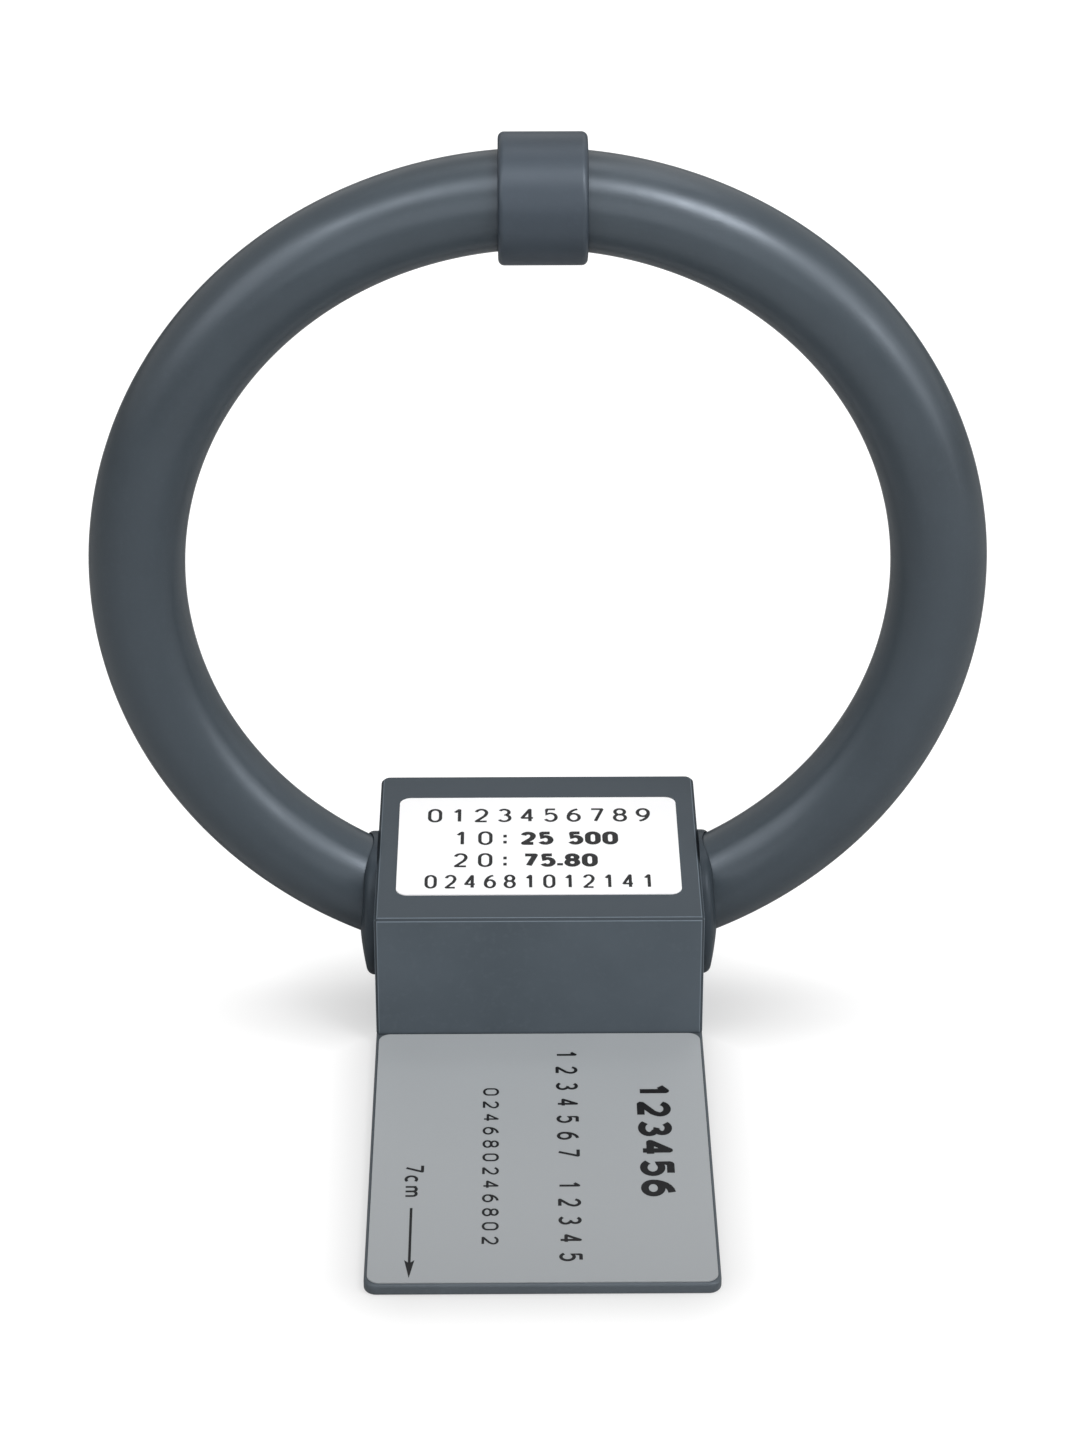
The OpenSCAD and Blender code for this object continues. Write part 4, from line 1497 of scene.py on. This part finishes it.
@dataclass
class OutputJack:
    """The bayonet jack on the rear wall, turned in shell, core and contact."""

    length: float = 11.0 * MM
    barrel_r: float = 4.8 * MM
    shoulder: float = 1.0 * MM
    groove: float = 0.35 * MM
    slope: float = 0.3 * MM
    land: float = 1.3 * MM
    nose: float = 0.9 * MM
    nose_in: float = 0.35 * MM
    flange_r: float = 7.25 * MM
    flange_t: float = 1.6 * MM
    flange_edge: float = 0.35 * MM
    flange_foot: float = 0.15 * MM
    thread_r: float = 4.7 * MM
    thread_len: float = 8.0 * MM
    thread_pitch: float = 0.79 * MM
    thread_depth: float = 0.35 * MM
    thread_start: float = 0.4 * MM
    thread_relief: float = 1.0 * MM
    mouth_r: float = 4.1 * MM
    mouth_len: float = 8.6 * MM
    mouth_out: float = 0.1 * MM
    mouth_edge: float = 0.2 * MM
    bore_r: float = 3.05 * MM
    lug_r: float = 1.0 * MM
    lug_span: float = 11.1 * MM
    lug_setback: float = 4.2 * MM
    lug_edge: float = 0.15 * MM
    core_r: float = 2.4 * MM
    # How far the core's front lies behind the barrel's
    core_back: float = 1.0 * MM
    core_edge: float = 0.25 * MM
    insulator_r: float = 3.0 * MM
    contact_r: float = 1.05 * MM
    contact_fit: float = 0.05 * MM
    contact_bore: float = 0.7 * MM
    contact_tail: float = 3.0 * MM
    # How far the contact's front lies behind the barrel's
    contact_back: float = 1.4 * MM
    contact_edge: float = 0.2 * MM
    cup_depth: float = 2.0 * MM
    socket_depth: float = 5.0 * MM
    slit_w: float = 0.24 * MM
    slit_depth: float = 3.5 * MM
    slit_reach: float = 2.0 * MM

    def lathe(self, steps: int) -> Lathe:
        """Turns about the jack's axis, with the wall's outer face at zero.

        Args:
            steps: Segments round the axis.

        Returns:
            The lathe.
        """
        low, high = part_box("jack_body")
        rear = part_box("housing_shell")[1].y
        return Lathe(Vector((0, rear, (low.z + high.z) / 2)), Axis.Y, steps)

    def thread(self) -> Path:
        """The thread's zigzag, from its rear end up to the flange.

        Returns:
            Its points.
        """
        root = self.thread_r - self.thread_depth
        line = []
        for i in range(int((self.thread_len - self.thread_relief) / self.thread_pitch)):
            foot = -self.thread_len + self.thread_start + i * self.thread_pitch
            line += [(foot, root), (foot + self.thread_pitch / 2, self.thread_r)]
        return [*line, (0.0, root)]

    def body(self) -> BMesh:
        """The nickel body with its flange, barrel, groove, mouth, thread and lugs.

        Returns:
            The closed mesh.
        """
        lathe = self.lathe(steps=96)
        front, mouth = self.length, self.length - self.mouth_len
        land = front - self.lug_setback - self.land
        bm = lathe.turn([
            (-self.thread_len, self.bore_r), *self.thread(),
            (0.0, self.flange_r), (self.flange_t, self.flange_r),
            (self.flange_t, self.barrel_r), (self.flange_t + self.shoulder, self.barrel_r),
            (self.flange_t + self.shoulder + self.slope, self.barrel_r - self.groove),
            (land - self.slope, self.barrel_r - self.groove), (land, self.barrel_r),
            (front - self.nose, self.barrel_r), (front, self.barrel_r - self.nose_in),
            (front, self.mouth_r + self.mouth_out), (front - self.mouth_edge, self.mouth_r),
            (mouth, self.mouth_r), (mouth, self.bore_r)])
        soften(bm, lathe.ring(bm, self.flange_t, self.flange_r), self.flange_edge, steps=3)
        soften(bm, lathe.ring(bm, 0.0, self.flange_r), self.flange_foot, steps=2)
        return merged([bm, *(self.lug(side.value) for side in Side)])

    def lug(self, out: int) -> BMesh:
        """One of the two pins that the plug's bayonet turns onto.

        Args:
            out: The way that it points, 1 or -1.

        Returns:
            The closed mesh.
        """
        at = self.lathe(steps=96).place(self.length - self.lug_setback, 0.0)
        root, tip, edge = self.mouth_r + self.lug_edge, self.lug_span / 2, self.lug_edge
        return Lathe(at, Axis.X, 32).turn([
            (out * root, 0.0), (out * root, self.lug_r), (out * (tip - edge), self.lug_r),
            (out * tip, self.lug_r - edge), (out * tip, 0.0)])

    def insulator(self) -> BMesh:
        """The white insulator with its raised core.

        Returns:
            The closed mesh.
        """
        lathe = self.lathe(steps=64)
        step, front = self.length - self.mouth_len, self.length - self.core_back
        bore = self.contact_r + self.contact_fit
        bm = lathe.turn([(-self.thread_len, bore), (-self.thread_len, self.insulator_r),
                         (step, self.insulator_r), (step, self.core_r),
                         (front, self.core_r), (front, bore)])
        soften(bm, lathe.ring(bm, front, self.core_r), self.core_edge, steps=3)
        return bm

    def contact(self) -> BMesh:
        """The gold contact with a slotted socket and a solder cup.

        Returns:
            The closed mesh.
        """
        lathe = self.lathe(steps=48)
        low = -self.thread_len - self.contact_tail
        front = self.length - self.contact_back
        cup, socket = low + self.cup_depth, front - self.socket_depth
        bm = lathe.turn([
            (cup, 0.0), (cup, self.contact_bore), (low, self.contact_bore), (low, self.contact_r),
            (front - self.contact_edge, self.contact_r),
            (front, self.contact_r - self.contact_edge),
            (front, self.contact_bore), (socket, self.contact_bore), (socket, 0.0)])
        middle = lathe.place(front, 0.0)
        cutters = []
        for x, z in ((self.slit_w / 2, self.slit_reach), (self.slit_reach, self.slit_w / 2)):
            cutters.append(block(middle - Vector((x, self.slit_depth, z)),
                                 middle + Vector((x, PAST, z))))
        return carved(bm, cutters)

    def build(self) -> list[Object]:
        """Builds the jack's visible pieces.

        Returns:
            The shell, the core and the pin.
        """
        return [
            dress(self.body(), "jack_shell", "nickel", "jack_body"),
            dress(self.insulator(), "jack_core", "insulator", "jack_insulator"),
            dress(self.contact(), "jack_pin", "gold", "jack_contact"),
        ]


class InnerPieces:
    """The pieces inside the ring and the housing, which keep their own solids."""

    def dress(self, replaced: set[str]) -> None:
        """Gives every node that stays its own finish.

        Args:
            replaced: Names of the nodes that another piece stands for.
        """
        slots = {s["node"]: s["material_slot"] for s in frame["record"]["subparts"]}
        for name, node in frame["nodes"].items():
            if name in replaced:
                continue
            node.data.materials.clear()
            node.data.materials.append(PAINT.get(slots[name]))
            log.info("%s keeps its solid, in %s", name, slots[name])


@dataclass(frozen=True)
class Shade:
    """A painted shadow on the floor: a box that fades out to all sides, widened across."""

    middle: Point
    half: Point
    fade: float
    level: float
    widen: float = 1.0


@dataclass(frozen=True)
class SoftBox:
    """A soft box: the way to it from the aim, its width and height in metres, and its watts."""

    name: str
    way: tuple[float, float, float]
    size: tuple[float, float]
    watts: float


@dataclass
class Studio:
    """Floor, lights, background and camera."""

    azimuth: float = -0.46
    elevation: float = 28.811
    roll: float = -0.012
    camera_at: tuple[float, float, float] = (-3.82 * MM, -577.48 * MM, 366.42 * MM)
    focal_px: float = 3885.8
    image_h: float = 1448.0
    sensor: float = 36.0
    clip: tuple[float, float] = (0.01, 50.0)
    floor_size: float = 6.0
    floor_drop: float = 0.05 * MM
    # The floor's own tone for the light on the object, and towards the camera under the glow
    floor_tone: float = 0.75
    seen_tone: float = 0.225
    glow: float = 0.98
    # Painted shadows on the floor round the tongue and the housing
    shades: tuple[Shade, ...] = (
        Shade((-0.1 * MM, -51.6 * MM), (19.5 * MM, 35.6 * MM), 27.4 * MM, 0.50),
        Shade((1.2 * MM, -13.6 * MM), (10 * MM, 1.4 * MM), 24.3 * MM, 0.474, widen=3.2),
        Shade((0.0, 15 * MM), (12 * MM, 5 * MM), 22 * MM, 0.50),
    )
    world_tone: float = 0.04
    reach: float = 1.1
    power: float = 0.95
    aim: tuple[float, float, float] = (0.0, 0.0, 0.07)
    boxes: tuple[SoftBox, ...] = (
        SoftBox("overhead", (0.0, -0.45, 0.90), (1.0, 0.5), 3.9),
        SoftBox("front_fill", (0.0, -0.95, 0.30), (1.0, 0.6), 1.9),
        SoftBox("left_box", (-0.70, -0.40, 0.55), (0.7, 0.7), 2.6),
        SoftBox("left_core", (-0.55, -0.40, 0.73), (0.2, 0.2), 0.70),
        SoftBox("left_inner", (-0.35, -0.42, 0.84), (0.2, 0.2), 0.42),
        SoftBox("left_top", (-0.25, 0.34, 0.88), (0.45, 0.45), 0.42),
        SoftBox("right_box", (0.70, -0.40, 0.55), (0.7, 0.7), 1.35),
        SoftBox("right_low_box", (0.80, -0.30, 0.30), (0.7, 0.7), 1.75),
        SoftBox("right_core", (0.50, -0.43, 0.75), (0.3, 0.3), 4.4),
        SoftBox("right_inner", (0.30, -0.42, 0.86), (0.2, 0.2), 0.78),
        SoftBox("right_low", (0.85, -0.42, 0.30), (0.2, 0.2), 0.62),
        SoftBox("right_foot", (0.93, -0.35, 0.05), (0.2, 0.2), 0.24),
        SoftBox("right_back", (0.93, 0.30, 0.20), (0.5, 0.5), 0.2),
        SoftBox("right_top", (0.30, 0.34, 0.88), (0.5, 0.5), 1.2),
        SoftBox("top_back", (0.04, 0.32, 0.94), (0.3, 0.3), 0.6),
        SoftBox("back_fill", (0.0, 0.95, 0.40), (1.0, 0.6), 0.7),
        SoftBox("right_top_back", (0.35, 0.62, 0.70), (0.4, 0.4), 0.42),
    )

    def camera(self) -> None:
        """Places the camera of the photograph."""
        data = bpy.data.cameras.new("camera")
        data.sensor_width = self.sensor
        data.lens = self.sensor * self.focal_px / self.image_h
        data.clip_start, data.clip_end = self.clip
        made = bpy.data.objects.new("camera", data)
        bpy.context.scene.collection.objects.link(made)
        turn = (Matrix.Rotation(math.radians(self.azimuth), 4, "Z")
                @ Matrix.Rotation(math.radians(90 - self.elevation), 4, "X")
                @ Matrix.Rotation(math.radians(self.roll), 4, "Z"))
        made.matrix_world = Matrix.Translation(self.camera_at) @ turn
        bpy.context.scene.camera = made

    def lights(self) -> None:
        """Hangs the soft boxes round the object, all facing the aim from the same distance."""
        for box in self.boxes:
            data = bpy.data.lights.new(box.name, "AREA")
            data.shape = "RECTANGLE"
            data.size, data.size_y = box.size
            data.energy = self.power * box.watts
            made = bpy.data.objects.new(box.name, data)
            bpy.context.scene.collection.objects.link(made)
            made.location = Vector(self.aim) + Vector(box.way).normalized() * self.reach
            made.rotation_euler = Vector(box.way).to_track_quat("Z", "Y").to_euler()

    def world(self) -> None:
        """Plain soft light, with a white background for the camera, gloss and glass."""
        world = bpy.data.worlds.new("studio")
        bpy.context.scene.world = world
        world.use_nodes = True
        graph = Graph(world.node_tree)
        graph.nodes.clear()
        rays = graph.add("LightPath").outputs
        shown = rays["Is Camera Ray"]
        for kind in ("Is Glossy Ray", "Is Transmission Ray"):
            shown = graph.math("MAXIMUM", shown, rays[kind])
        soft = graph.add("Background", {"Color": WHITE, "Strength": self.world_tone})
        white = graph.add("Background", {"Color": WHITE, "Strength": 1.0})
        mix = graph.add("MixShader", {0: shown, 1: soft.outputs[0], 2: white.outputs[0]})
        graph.add("OutputWorld", {"Surface": mix.outputs[0]})

    def paper_glow(self, graph: Graph) -> NodeSocket:
        """How strongly the paper glows towards the camera: fully in the open, less in each painted
        shadow.

        Args:
            graph: The paper's nodes.

        Returns:
            The strength.
        """
        place = graph.add("TexCoord").outputs["Object"]
        total: Input = self.glow
        # Each painted shadow dips the glow
        for shade in self.shades:
            off = graph.vector("SUBTRACT", place, (*shade.middle, 0.0))
            past = graph.vector("SUBTRACT", graph.vector("ABSOLUTE", off), (*shade.half, 0.0))
            outside = graph.vector("MAXIMUM", past, (0.0, 0.0, 0.0))
            squeezed = graph.vector("MULTIPLY", outside, (1 / shade.widen, 1.0, 0.0))
            length = graph.vector("LENGTH", squeezed)
            rise = graph.spread(length, shade.level, self.glow, 0.0, shade.fade, "SMOOTHSTEP")
            total = graph.math("MINIMUM", total, rise)
        return total

    def floor(self) -> None:
        """A pale floor: the camera sees part of the object's real shadow on a glow with soft
        painted shadows.
        """
        bm = bmesh.new()
        bmesh.ops.create_grid(bm, x_segments=1, y_segments=1, size=self.floor_size / 2,
                              matrix=Matrix.Translation((0, 0, -self.floor_drop)))
        made = object_of(bm, "floor")
        paper = bpy.data.materials.new("floor_paper")
        paper.use_nodes = True
        graph = Graph(paper.node_tree)
        graph.nodes.clear()
        seen = graph.add("LightPath").outputs["Is Camera Ray"]
        tone = graph.math("MULTIPLY_ADD", seen, self.seen_tone - self.floor_tone, self.floor_tone)
        strength = graph.math("MULTIPLY", seen, self.paper_glow(graph))
        matt = graph.add("BsdfDiffuse", {"Color": tone})
        glow = graph.add("Emission", {"Color": WHITE, "Strength": strength})
        both = graph.add("AddShader", {0: matt.outputs[0], 1: glow.outputs[0]})
        graph.add("OutputMaterial", {"Surface": both.outputs[0]})
        made.data.materials.append(paper)

    def build(self) -> None:
        """Sets up the whole studio."""
        bpy.context.scene.view_settings.view_transform = "Standard"
        self.camera()
        self.lights()
        self.world()
        self.floor()


def main() -> None:
    """Builds the studio and the antenna."""
    logging.basicConfig(level=logging.INFO, format="%(message)s")
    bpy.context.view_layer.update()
    Studio().build()
    ring = LoopRing()
    made = ring.build()
    made += [SideFlange(ring).build(side) for side in Side]
    made.append(Housing().build())
    made += BasePlate().build()
    made += HousingLabel().build()
    made += TongueLabel().build()
    made += OutputJack().build()
    replaced = {name for piece in made for name in piece.get("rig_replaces", [])}
    InnerPieces().dress(replaced)
    log.info("%d pieces", len(made))


if __name__ == "__main__":
    main()
